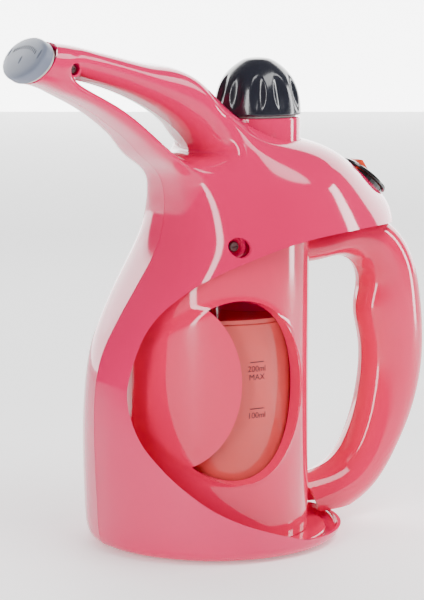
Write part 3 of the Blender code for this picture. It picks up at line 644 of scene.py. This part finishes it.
    def well_lining(self, centre: Point2, radius: float, seat: float, mouth: float) -> bpy.types.Object:
        """Tube that lines a screw well, with its floor.

        Args:
            centre: Well axis (x, z).
            radius: Inner radius.
            seat: Depth of the floor from the mirror plane.
            mouth: Distance of the mouth from the mirror plane.

        Returns:
            The lining.
        """
        outside, below = radius + self.well_wall, seat - self.well_floor
        profile = ((0.0, seat), (radius, seat), (radius, mouth), (outside, mouth), (outside, below),
                   (0.0, below))
        lining = Shop.lathe("well_lining", profile, 40)
        return Shop.move(lining, at(centre[0], 0.0, centre[1]) @ Matrix.Rotation(math.pi / 2.0, 4, "X"))

    def build(self) -> None:
        """Build and dress both halves and the linings of the screw wells."""
        for side in Side:
            name = "cowl_shell_" + side.name.lower()
            rows = [[(x, y * -side.value, z) for x, y, z in row] for row in self.cage()]
            obj = Shop.surface(name, rows, self.in_slit)
            Shop.soften(obj, SOFT_LEVELS)
            Shop.wall(obj, self.wall_mm, side)
            Shop.boolean(obj, self.tools(side))
            self.dress(obj, Palette.PINK, "pink_shell", Body.STEAMER, ["cowl_" + side.name.lower()], 38.0)
        for centre, radius, _, seat, mouth in self.wells:
            lining = self.well_lining(centre, radius, seat, mouth)
            self.dress(lining, Palette.PINK, "pink_shell", Body.STEAMER, [])


@dataclass
class Grip(Assembly):
    """Loop handle in two halves."""

    wall_mm: float = 1.7
    core_x: float = 2.4
    core_radius: float = 45.5
    foot_z: float = 7.4
    steps: tuple[float, ...] = (0.0, 0.14, 0.32, 0.5, 0.68, 0.86, 1.0)
    # Stations: inner edge (x, z), outer edge (x, z), half width.
    stations: tuple[tuple, ...] = (
        ((44.0, 133.0), (44.0, 149.6), 13.0),
        ((58.0, 133.2), (60.0, 150.2), 14.0),
        ((68.0, 135.4), (78.0, 157.0), 15.0),
        ((77.5, 135.4), (98.0, 156.0), 15.6),
        ((84.6, 130.0), (112.6, 143.0), 15.6),
        ((88.0, 120.6), (120.0, 125.8), 15.6),
        ((82.8, 107.6), (123.4, 106.6), 15.6),
        ((88.8, 92.0), (124.6, 88.0), 15.6),
        ((88.6, 74.0), (122.6, 69.0), 15.6),
        ((85.2, 56.5), (116.6, 50.0), 15.6),
        ((79.8, 42.0), (107.6, 34.0), 15.6),
        ((73.0, 32.0), (98.6, 19.4), 15.6),
        ((63.0, 26.8), (85.4, 7.0), 15.0),
        ((48.0, 25.0), (60.0, -2.0), 14.0),
    )

    def tools(self) -> list[bpy.types.Object]:
        """Cutters for the housing, the tail above and the tray below."""
        above = ((20.0, 151.0), (70.0, 152.9), (92.0, 152.4), (130.0, 151.0), (130.0, 190.0), (20.0, 190.0))
        below = ((20.0, -20.0), (130.0, -20.0), (130.0, self.foot_z), (20.0, self.foot_z))
        core = Shop.oval("core_tool", self.core_radius + GAP, self.core_radius + GAP, 0.0, 170.0, 128)
        return [Shop.move(core, at(self.core_x, 0.0, 0.0)), Shop.slab("above_tool", above, -30.0, 30.0),
                Shop.slab("below_tool", below, -30.0, 30.0)]

    def build(self) -> None:
        """Build and dress both halves."""
        for side in Side:
            rows = [[Cowl.half_loop(inner, outer, half, t, 0.9, 0.9) for t in self.steps]
                    for inner, outer, half in self.stations]
            rows = [[(x, y * -side.value, z) for x, y, z in row] for row in rows]
            obj = Shop.surface("grip_shell_" + side.name.lower(), rows)
            Shop.soften(obj, SOFT_LEVELS)
            obj.data.flip_normals()
            Shop.wall(obj, self.wall_mm, side)
            Shop.boolean(obj, self.tools())
            self.dress(obj, Palette.INNER, "pink_housing", Body.STEAMER, ["handle_" + side.name.lower()])


@dataclass
class Housing(Assembly):
    """Round two-half tank housing with a proud round face and a crescent window in it."""

    centre_x: float = 2.4
    radius: float = 45.5
    depth: float = 5.6
    foot_z: float = 5.45
    top_z: float = 152.5
    tail_z: float = 151.6
    swell: float = 1.5
    eye: tuple[float, float, float, float] = (-10.5, 79.2, 37.2, 44.6)
    lune: tuple[float, float, float, float] = (-49.7, 84.0, 40.0, 46.0)
    taper: float = 0.892
    flare: float = 1.18
    turns: int = 80
    levels: int = 110

    def proud(self, x: float, z: float) -> float:
        """How far the housing stands out at a place of the side view."""
        cx, cz, rx, rz = self.eye
        off = math.hypot((x - cx) / (rx + 1.5), (z - cz) / (rz + 1.5))
        ease = max(0.0, min(1.0, (1.0 - off) / 0.10))
        return self.swell * ease * ease * (3.0 - 2.0 * ease)

    def window(self, side: Side) -> bpy.types.Object:
        """Cutter of the crescent window, wider outside than inside."""
        cx, cz, rx, rz = self.eye
        s = side.value
        eye = Shop.slab("eye_tool", ellipse((cx, cz), (rx * self.taper, rz * self.taper), 96), s * 14.0,
                        s * 60.0, self.flare, (cx, cz))
        cx, cz, rx, rz = self.lune
        lune = Shop.slab("lune_tool", ellipse((cx, cz), (rx, rz), 96, 0.01), s * 5.0, s * 75.0)
        Shop.boolean(eye, [lune])
        return eye

    def half(self, side: Side) -> bpy.types.Object:
        """Wall of one half, closed, before the window is cut."""
        rows = []
        for radius, outer in ((self.radius, True), (self.radius - self.depth, False)):
            block = []
            for i in range(self.levels + 1):
                z = self.foot_z + (self.top_z - self.foot_z) * i / self.levels
                row = []
                for k in range(self.turns + 1):
                    a = math.pi * k / self.turns
                    x = self.centre_x + radius * math.cos(a)
                    r = radius + (self.proud(x, z) if outer else 0.0)
                    y = max(HALF_GAP, r * math.sin(a))
                    row.append((self.centre_x + r * math.cos(a), side.value * y, z))
                block.append(row)
            rows += block if outer else block[::-1]
        rows.append(rows[0])
        obj = Shop.surface("housing_shell_" + side.name.lower(), rows)
        bm = bmesh.new()
        bm.from_mesh(obj.data)
        bmesh.ops.remove_doubles(bm, verts=bm.verts, dist=1e-6)
        bmesh.ops.holes_fill(bm, edges=[e for e in bm.edges if e.is_boundary], sides=0)
        bm.to_mesh(obj.data)
        bm.free()
        return Shop.outward(obj)

    def trim(self) -> bpy.types.Object:
        """Cutter that keeps the housing just under the edge of the cowl's opening."""
        edge = [(x + 0.25, z - 0.6) for x, z in smooth_line(OPENING[:10])]
        return Shop.slab("trim_tool", edge + [(-90.0, 98.0), (-90.0, 230.0), (150.0, 230.0),
                                              (150.0, self.tail_z - 0.6)], -90.0, 90.0)

    def build(self) -> None:
        """Build and dress both halves."""
        for side in Side:
            obj = self.half(side)
            Shop.boolean(obj, [self.window(side), self.trim()])
            self.dress(obj, Palette.INNER, "pink_housing", Body.STEAMER, ["housing_" + side.name.lower()])


@dataclass
class Tank(Assembly):
    """Clear water tank with printed volume marks."""

    centre_x: float = 2.4
    radius: float = 39.0
    wall_mm: float = 1.8
    floor_z: float = 22.0
    top_z: float = 111.0
    mark_turn: float = math.radians(-90.0)
    mark_gap: float = 22.7
    mark_top: float = 92.7
    mark_lift: float = 0.08
    figure_size: float = 4.1
    figure_drop: float = 4.6
    figure_deep: float = 0.03
    ticks: int = 6
    tick_step: float = 1.28
    tick_size: Point3 = (1.30, 0.45, 0.06)

    def glass(self) -> bpy.types.Object:
        """The tank itself, with a rounded foot."""
        r, w, z0, z1 = self.radius, self.wall_mm, self.floor_z, self.top_z
        profile = ((0.0, z0 + w), (r - w - 2.0, z0 + w), (r - w - 0.6, z0 + w + 0.6), (r - w, z0 + w + 2.0),
                   (r - w, z1), (r - 0.3, z1), (r, z1 - 0.3), (r, z0 + 3.0), (r - 0.9, z0 + 0.9),
                   (r - 3.0, z0), (0.0, z0))
        return Shop.move(Shop.lathe("tank_shell", profile, 128), at(self.centre_x, 0.0, 0.0))

    def on_wall(self, obj: bpy.types.Object, z: float) -> bpy.types.Object:
        """Bend a flat mark in the XY plane round the tank wall at a height."""
        r = (self.radius + self.mark_lift) * MM
        for vert in obj.data.vertices:
            a = self.mark_turn + vert.co.x / r
            out = r + vert.co.z
            vert.co = Vector((self.centre_x * MM + out * math.cos(a), out * math.sin(a), z * MM + vert.co.y))
        obj.data.update()
        return obj

    def words(self, text: str, size: float, z: float) -> bpy.types.Object:
        """Generic volume figures as a thin raised print."""
        curve = bpy.data.curves.new("mark_text", "FONT")
        curve.body = text
        curve.size = size * MM
        curve.align_x = "CENTER"
        curve.extrude = self.figure_deep * MM
        temp = Shop.link("mark_text", curve)
        bpy.context.view_layer.update()
        mesh = bpy.data.meshes.new_from_object(temp.evaluated_get(bpy.context.evaluated_depsgraph_get()))
        bpy.data.objects.remove(temp)
        return self.on_wall(Shop.link("volume_figures", mesh), z)

    def build(self) -> None:
        """Build and dress the tank and its marks."""
        self.dress(self.glass(), Palette.TANK, "clear_tank", Body.STEAMER, ["water_tank"])
        for text, line_z in (("200ml\nMAX", self.mark_top), ("100ml", self.mark_top - self.mark_gap)):
            figures = self.words(text, self.figure_size, line_z - self.figure_drop)
            self.dress(figures, Palette.INK, "clear_tank", Body.STEAMER, [])
            row = Repeater("volume_tick", self.ticks, (self.tick_step, 0.0, 0.0), self.tick_size)
            tick = row.make(self.palette.get(Palette.INK))
            self.dress(self.on_wall(tick, line_z), Palette.INK, "clear_tank", Body.STEAMER, [])


# ---------------------------------------------------------------- repeated details


@dataclass
class Repeater:
    """Geometry Nodes tree that repeats a small block along a line or a shallow arc."""

    name: str
    count: int
    step: Point3
    block: Point3
    rise: float = 0.0

    def make(self, mat: bpy.types.Material) -> bpy.types.Object:
        """Make the row, centred on the origin, as a plain mesh.

        Args:
            mat: Material of the blocks.

        Returns:
            The row of blocks.
        """
        tree = bpy.data.node_groups.new(self.name + "_row", "GeometryNodeTree")
        face = tree.interface
        face.new_socket("Geometry", in_out="OUTPUT", socket_type="NodeSocketGeometry")
        count = face.new_socket("Count", in_out="INPUT", socket_type="NodeSocketInt")
        step = face.new_socket("Step", in_out="INPUT", socket_type="NodeSocketVector")
        block = face.new_socket("Block", in_out="INPUT", socket_type="NodeSocketVector")
        rise = face.new_socket("Rise", in_out="INPUT", socket_type="NodeSocketFloat")
        new, link = tree.nodes.new, tree.links.new
        inputs, output = new("NodeGroupInput"), new("NodeGroupOutput")
        points, cube = new("GeometryNodePoints"), new("GeometryNodeMeshCube")
        index = new("GeometryNodeInputIndex")
        last, half, shift = new("ShaderNodeMath"), new("ShaderNodeMath"), new("ShaderNodeMath")
        last.operation, half.operation, shift.operation = "SUBTRACT", "MULTIPLY", "SUBTRACT"
        last.inputs[1].default_value, half.inputs[1].default_value = 1.0, 0.5
        place, square = new("ShaderNodeVectorMath"), new("ShaderNodeMath")
        sink, lift = new("ShaderNodeMath"), new("ShaderNodeCombineXYZ")
        place.operation, square.operation, sink.operation = "SCALE", "MULTIPLY", "MULTIPLY"
        total = new("ShaderNodeVectorMath")
        scatter, realize, paint = (new("GeometryNodeInstanceOnPoints"), new("GeometryNodeRealizeInstances"),
                                   new("GeometryNodeSetMaterial"))
        paint.inputs["Material"].default_value = mat
        link(inputs.outputs["Count"], points.inputs["Count"])
        link(inputs.outputs["Count"], last.inputs[0])
        link(last.outputs[0], half.inputs[0])
        link(index.outputs[0], shift.inputs[0])
        link(half.outputs[0], shift.inputs[1])
        link(inputs.outputs["Step"], place.inputs[0])
        link(shift.outputs[0], place.inputs["Scale"])
        link(shift.outputs[0], square.inputs[0])
        link(shift.outputs[0], square.inputs[1])
        link(square.outputs[0], sink.inputs[0])
        link(inputs.outputs["Rise"], sink.inputs[1])
        link(sink.outputs[0], lift.inputs["X"])
        link(place.outputs[0], total.inputs[0])
        link(lift.outputs[0], total.inputs[1])
        link(total.outputs[0], points.inputs["Position"])
        link(inputs.outputs["Block"], cube.inputs["Size"])
        link(points.outputs[0], scatter.inputs["Points"])
        link(cube.outputs["Mesh"], scatter.inputs["Instance"])
        link(scatter.outputs[0], realize.inputs[0])
        link(realize.outputs[0], paint.inputs["Geometry"])
        link(paint.outputs[0], output.inputs[0])
        obj = Shop.link(self.name, bpy.data.meshes.new(self.name))
        mod = obj.modifiers.new("row", "NODES")
        mod.node_group = tree
        mod[count.identifier] = self.count
        mod[step.identifier] = [c * MM for c in self.step]
        mod[block.identifier] = [c * MM for c in self.block]
        mod[rise.identifier] = self.rise * MM
        return Shop.bake(obj)


@dataclass
class Nozzle(Assembly):
    """Oval steam outlet with three cut large slots and an arc of small slots drawn as dark blocks of painted
    shade.
    """

    centre: Point2 = (-95.6, 235.4)
    tilt: float = math.radians(31.0)
    half_width: float = 20.6
    half_height: float = 11.3
    depth: float = 6.4
    seal: float = 1.5
    # Large slots: half height, half width, place down and across the face.
    large_slots: tuple[tuple[float, ...], ...] = ((2.1, 0.75, -1.6, 0.0), (2.5, 0.8, 2.2, -15.6),
                                                  (2.5, 0.8, 2.2, 15.6))
    small_slots: int = 12
    small_size: Point3 = (1.9, 0.55, 0.12)
    small_step: float = 2.05
    small_bow: float = -0.075
    small_down: float = 5.2
    small_lift: float = 0.36

    def frame(self) -> Matrix:
        """Frame of the outlet: Z out of the face, Y across."""
        return leaning(*self.centre, -math.pi / 2.0 + self.tilt)

    def build(self) -> None:
        """Build and dress the head and its row of small slots."""
        a, top = self.half_width, self.depth
        profile = [(0.0, top + 0.5), (a - 7.0, top + 0.3), (a - 2.6, top - 0.1), (a - 1.2, top - 0.5),
                   (a - 0.4, top - 1.1), (a, top - 2.0), (a, self.seal), (a - 7.2, self.seal),
                   (a - 7.2, -1.5), (0.0, -1.5)]
        head = Shop.lathe("nozzle_face", profile, 96)
        Shop.move(head, Matrix.Diagonal((self.half_height / a, 1.0, 1.0, 1.0)))
        cuts = [Shop.move(Shop.oval("slot_tool", high, wide, 1.0, 12.0, 24), at(down, across, 0.0))
                for high, wide, down, across in self.large_slots]
        Shop.boolean(head, cuts)
        Shop.move(head, self.frame())
        self.dress(head, Palette.GREY, "grey_nozzle", Body.STEAMER, ["nozzle_head"])
        # The small slots are not cut: a row of near-black blocks on the face paints their shade.
        row = Repeater("nozzle_slot_shade", self.small_slots, (0.0, self.small_step, 0.0), self.small_size,
                       self.small_bow)
        slots = row.make(self.palette.get(Palette.SLOT_SHADE))
        Shop.move(slots, self.frame() @ at(self.small_down, 0.0, top + self.small_lift))
        self.dress(slots, Palette.SLOT_SHADE, "grey_nozzle", Body.STEAMER, [])


@dataclass
class Filler(Assembly):
    """Round collar on the shoulder and the dimpled screw cap on it."""

    centre_x: float = 25.7
    radius: float = 21.4
    rim_z: float = 208.4
    foot_z: float = 186.0
    mouth: float = 15.0
    funnel_x: float = 20.8
    funnel_z: float = 106.0
    dimples: int = 11
    dimple_turn: float = 0.2
    dimple_depth: float = 2.1
    dimple_z: float = 219.2
    dimple_half: Point2 = (4.1, 9.4)
    dimple_from: float = 12.0
    dimple_edge: float = 1.3
    cap_steps: int = 220
    funnel_wall: float = 1.6

    def dent(self, angle: float, radius: float, z: float) -> float:
        """Change of the cap's radius where a finger dimple lies."""
        if radius < self.dimple_from:
            return 0.0
        pitch = 2.0 * math.pi / self.dimples
        off = ((angle - self.dimple_turn + pitch / 2.0) % pitch - pitch / 2.0) * radius
        reach = math.hypot(off / self.dimple_half[0], (z - self.dimple_z) / self.dimple_half[1])
        return -self.dimple_depth * max(0.0, 1.0 - reach * reach) ** self.dimple_edge

    def cap(self) -> bpy.types.Object:
        """Domed cap with dimples round its side."""
        outer = smooth_line(((0.0, 236.2), (4.0, 235.9), (7.4, 234.9), (11.6, 232.2), (15.1, 228.9),
                             (17.6, 225.4), (19.4, 221.4), (20.6, 217.0), (21.2, 212.8), (21.4, 209.4)), 6)
        inner = [(self.radius - 0.5, self.rim_z), (self.radius - 2.0, self.rim_z), (19.0, 213.0),
                 (17.6, 218.0), (14.2, 223.0), (10.0, 227.0), (0.0, 229.0)]
        obj = Shop.lathe("cap_dome", outer + [(self.radius, self.rim_z + 0.5)] + inner, self.cap_steps,
                         lambda a, r, z: self.dent(a, r, z) if (r, z) not in inner else 0.0)
        return Shop.move(obj, at(self.centre_x, 0.0, 0.0))

    def collar(self) -> bpy.types.Object:
        """Collar with a rounded lip, running down into the funnel."""
        top, wide, outside = self.rim_z - 1.1, self.radius - 0.2, self.mouth + self.funnel_wall
        profile = ((wide - 0.8, top), (wide - 0.2, top - 0.25), (wide, top - 0.9), (wide, self.foot_z),
                   (outside, self.foot_z - 6.0), (outside, self.funnel_z), (self.mouth, self.funnel_z),
                   (self.mouth, self.foot_z - 1.0), (self.mouth, top))
        obj = Shop.lathe("collar_ring", profile, 128)
        for vert in obj.data.vertices:
            if vert.co.z < (self.foot_z - 3.0) * MM:
                vert.co.x += (self.funnel_x - self.centre_x) * MM
        return Shop.move(obj, at(self.centre_x, 0.0, 0.0))

    def build(self) -> None:
        """Build and dress the cap and the collar."""
        self.dress(self.cap(), Palette.SLATE, "slate_cap", Body.CAP, ["filler_cap"], 60.0)
        self.dress(self.collar(), Palette.PINK, "pink_shell", Body.STEAMER, ["filler_collar"])


@dataclass
class Switch(Assembly):
    """Oval switch frame with a clear red rocker on the rear slope."""

    centre = (87.6, 174.6)
    tilt = math.radians(37.0)
    bezel_l = 14.6
    bezel_w = 10.2
    bezel_t = 2.6
    rocker_l: float = 9.2
    rocker_w: float = 6.4

    @classmethod
    def frame(cls) -> Matrix:
        """Frame of the switch: Z out of the slope, X down the slope."""
        return leaning(*cls.centre, cls.tilt)

    def bezel(self) -> bpy.types.Object:
        """Oval frame with a crowned lip and a square window."""
        t = self.bezel_t
        ring = Shop.lathe("switch_frame", ((0.0, t), (0.80, t), (0.92, t - 0.25), (0.985, t - 0.8),
                                           (1.0, t - 1.4), (1.0, GAP), (0.0, GAP)), 96)
        Shop.move(ring, Matrix.Diagonal((self.bezel_l, self.bezel_w, 1.0, 1.0)))
        l, w = self.rocker_l + GAP, self.rocker_w + GAP
        below, above = -4.0, 8.0
        hole = Shop.slab("hole_tool", ((-l, below), (l, below), (l, above), (-l, above)), -w, w)
        Shop.boolean(ring, [hole])
        return Shop.move(ring, self.frame())

    def rocker(self) -> bpy.types.Object:
        """Rocker with a dished top, its high end at the front."""
        l, w = self.rocker_l, self.rocker_w
        dish = smooth_line(((-l + 0.6, 5.2), (-5.4, 4.1), (-1.8, 3.0), (1.8, 2.5), (5.4, 2.1),
                            (l - 0.2, 1.6)), 3)
        outline = dish + [(l - 1.6, -1.2), (2.0, -4.4), (-2.0, -4.4), (-l + 1.2, 0.4)]
        obj = Shop.slab("rocker_key", outline, -w, w)
        Shop.round_edges(obj, 0.35, 50.0, 2)
        return Shop.move(obj, self.frame())

    def build(self) -> None:
        """Build and dress the frame and the rocker."""
        self.dress(self.bezel(), Palette.BLACK, "black_plastic", Body.STEAMER, ["switch_bezel"])
        self.dress(self.rocker(), Palette.ROCKER, "red_rocker", Body.ROCKER, ["switch_rocker"])


@dataclass
class Base(Assembly):
    """Tray floor seen inside the skirt."""

    centre_x: float = 1.2
    radius: float = 55.6
    low_z: float = 3.1
    high_z: float = 5.1

    def build(self) -> None:
        """Build and dress the tray floor."""
        r = self.radius
        tray = Shop.lathe("tray_floor", ((0.0, self.high_z), (r - 0.5, self.high_z), (r, self.high_z - 0.5),
                                         (r, self.low_z), (0.0, self.low_z)), 128)
        Shop.move(tray, at(self.centre_x, 0.0, 0.0))
        self.dress(tray, Palette.INNER, "pink_housing", Body.STEAMER, ["base_deck"])


@dataclass
class InnerWorks(Assembly):
    """Frame nodes that stay as they are and only take their finishes."""

    def build(self) -> None:
        """Give every shown frame node the finish of its slot."""
        slots = {part["node"]: part["material_slot"] for part in frame["record"]["subparts"]}
        for name, obj in frame["nodes"].items():
            if obj.hide_render:
                continue
            finish = self.palette.get(Palette.SLOTS[slots[name]])
            for place in obj.material_slots:
                place.material = finish
            LOG.info("%s: kept, in %s", name, finish.name)


# ---------------------------------------------------------------- studio


@dataclass
class Panel:
    """One soft light panel."""

    name: str
    place: Point3
    aim: Point3
    size: Point2
    power: float


@dataclass
class Studio:
    """Pale sweep, soft panels and the camera."""

    azimuth: float = math.radians(-30.0)
    elevation: float = math.radians(8.4)
    distance: float = 1.130
    aim_z: float = 0.1179
    lens: float = 138.0
    floor_half: float = 6.0
    screen_half: float = 4.0
    screen_distance: float = 3.2
    screen_glow: float = 6.0
    floor_glow: float = 0.35
    panels: tuple[Panel, ...] = (
        Panel("key strip", (-0.66, -0.42, 0.30), (0.0, 0.0, 0.12), (0.12, 0.80), 6.0),
        Panel("overhead", (0.22, -0.45, 0.90), (0.0, 0.0, 0.12), (0.80, 0.40), 10.0),
        Panel("right wall", (0.95, -0.25, 0.22), (0.0, 0.0, 0.12), (0.16, 0.80), 8.0),
        Panel("back fill", (0.10, 0.90, 0.60), (0.0, 0.0, 0.12), (0.90, 0.60), 2.5),
    )

    def toward_camera(self) -> Vector:
        """Unit vector from the object toward the camera."""
        a, e = self.azimuth, self.elevation
        return Vector((math.sin(a) * math.cos(e), -math.cos(a) * math.cos(e), math.sin(e)))

    @staticmethod
    def pale(name: str, scale: float, shades: Point2, rough: float, glow: float) -> bpy.types.Material:
        """Near-white finish with a faint drift and a soft glow.

        Args:
            name: Material name.
            scale: Scale of the drift per metre.
            shades: Darkest and lightest grey.
            rough: Roughness.
            glow: Strength of the glow.

        Returns:
            The material.
        """
        bench = NodeBench(name)
        low, high = shades
        bench.tint(bench.spread(bench.noise(scale), 0.0, 1.0), (low, low, low), (high, high, high))
        bench.plain(Roughness=rough, Emission_Strength=glow)
        bench.bsdf.inputs["Emission Color"].default_value = (1.0, 1.0, 1.0, 1.0)
        return bench.mat

    @staticmethod
    def sheet(name: str, half: float, mat: bpy.types.Material) -> bpy.types.Object:
        """Flat square centred on the origin."""
        mesh = bpy.data.meshes.new(name)
        corners = [(-half, -half, 0.0), (half, -half, 0.0), (half, half, 0.0), (-half, half, 0.0)]
        mesh.from_pydata(corners, [], [(0, 1, 2, 3)])
        mesh.materials.append(mat)
        return Shop.link(name, mesh)

    def sweep(self) -> None:
        """Pale floor, bright backdrop and a matching world."""
        floor_finish = self.pale("pale floor", 3.0, (0.93, 0.96), 0.7, self.floor_glow)
        floor = self.sheet("floor", self.floor_half, floor_finish)
        screen_finish = self.pale("white backdrop", 2.0, (0.94, 0.96), 0.9, self.screen_glow)
        screen = self.sheet("backdrop", self.screen_half, screen_finish)
        away = -self.toward_camera()
        screen.location = away * self.screen_distance
        screen.rotation_euler = away.to_track_quat("-Z", "Y").to_euler()
        world = bpy.data.worlds.new("studio")
        world.use_nodes = True
        world.node_tree.nodes["Background"].inputs["Color"].default_value = (1.0, 1.0, 1.0, 1.0)
        world.node_tree.nodes["Background"].inputs["Strength"].default_value = 0.18
        bpy.context.scene.world = world

    def light(self, panel: Panel) -> None:
        """Hang one panel."""
        data = bpy.data.lights.new(panel.name, "AREA")
        data.shape = "RECTANGLE"
        data.size, data.size_y = panel.size
        data.energy = panel.power
        obj = bpy.data.objects.new(panel.name, data)
        bpy.context.scene.collection.objects.link(obj)
        obj.location = panel.place
        obj.rotation_euler = (Vector(panel.place) - Vector(panel.aim)).to_track_quat("Z", "Y").to_euler()

    def camera(self) -> None:
        """Put the camera in front of the left side, slightly above."""
        data = bpy.data.cameras.new("camera")
        data.lens = self.lens
        data.sensor_fit = "AUTO"
        data.sensor_width = 36.0
        obj = bpy.data.objects.new("camera", data)
        bpy.context.scene.collection.objects.link(obj)
        back = self.toward_camera()
        obj.location = Vector((0.0, 0.0, self.aim_z)) + back * self.distance
        obj.rotation_euler = back.to_track_quat("Z", "Y").to_euler()
        bpy.context.scene.camera = obj

    def build(self) -> None:
        """Set up floor, lights and camera."""
        self.sweep()
        for panel in self.panels:
            self.light(panel)
        self.camera()


def main() -> None:
    """Build every sub-assembly in order and set up the studio."""
    logging.basicConfig(level=logging.INFO, format="%(name)s: %(message)s")
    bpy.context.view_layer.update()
    palette = Palette()
    for assembly in (Cowl, Grip, Housing, Tank, Nozzle, Filler, Switch, Base, InnerWorks):
        assembly(palette).build()
    Studio().build()


if __name__ == "__main__":
    main()
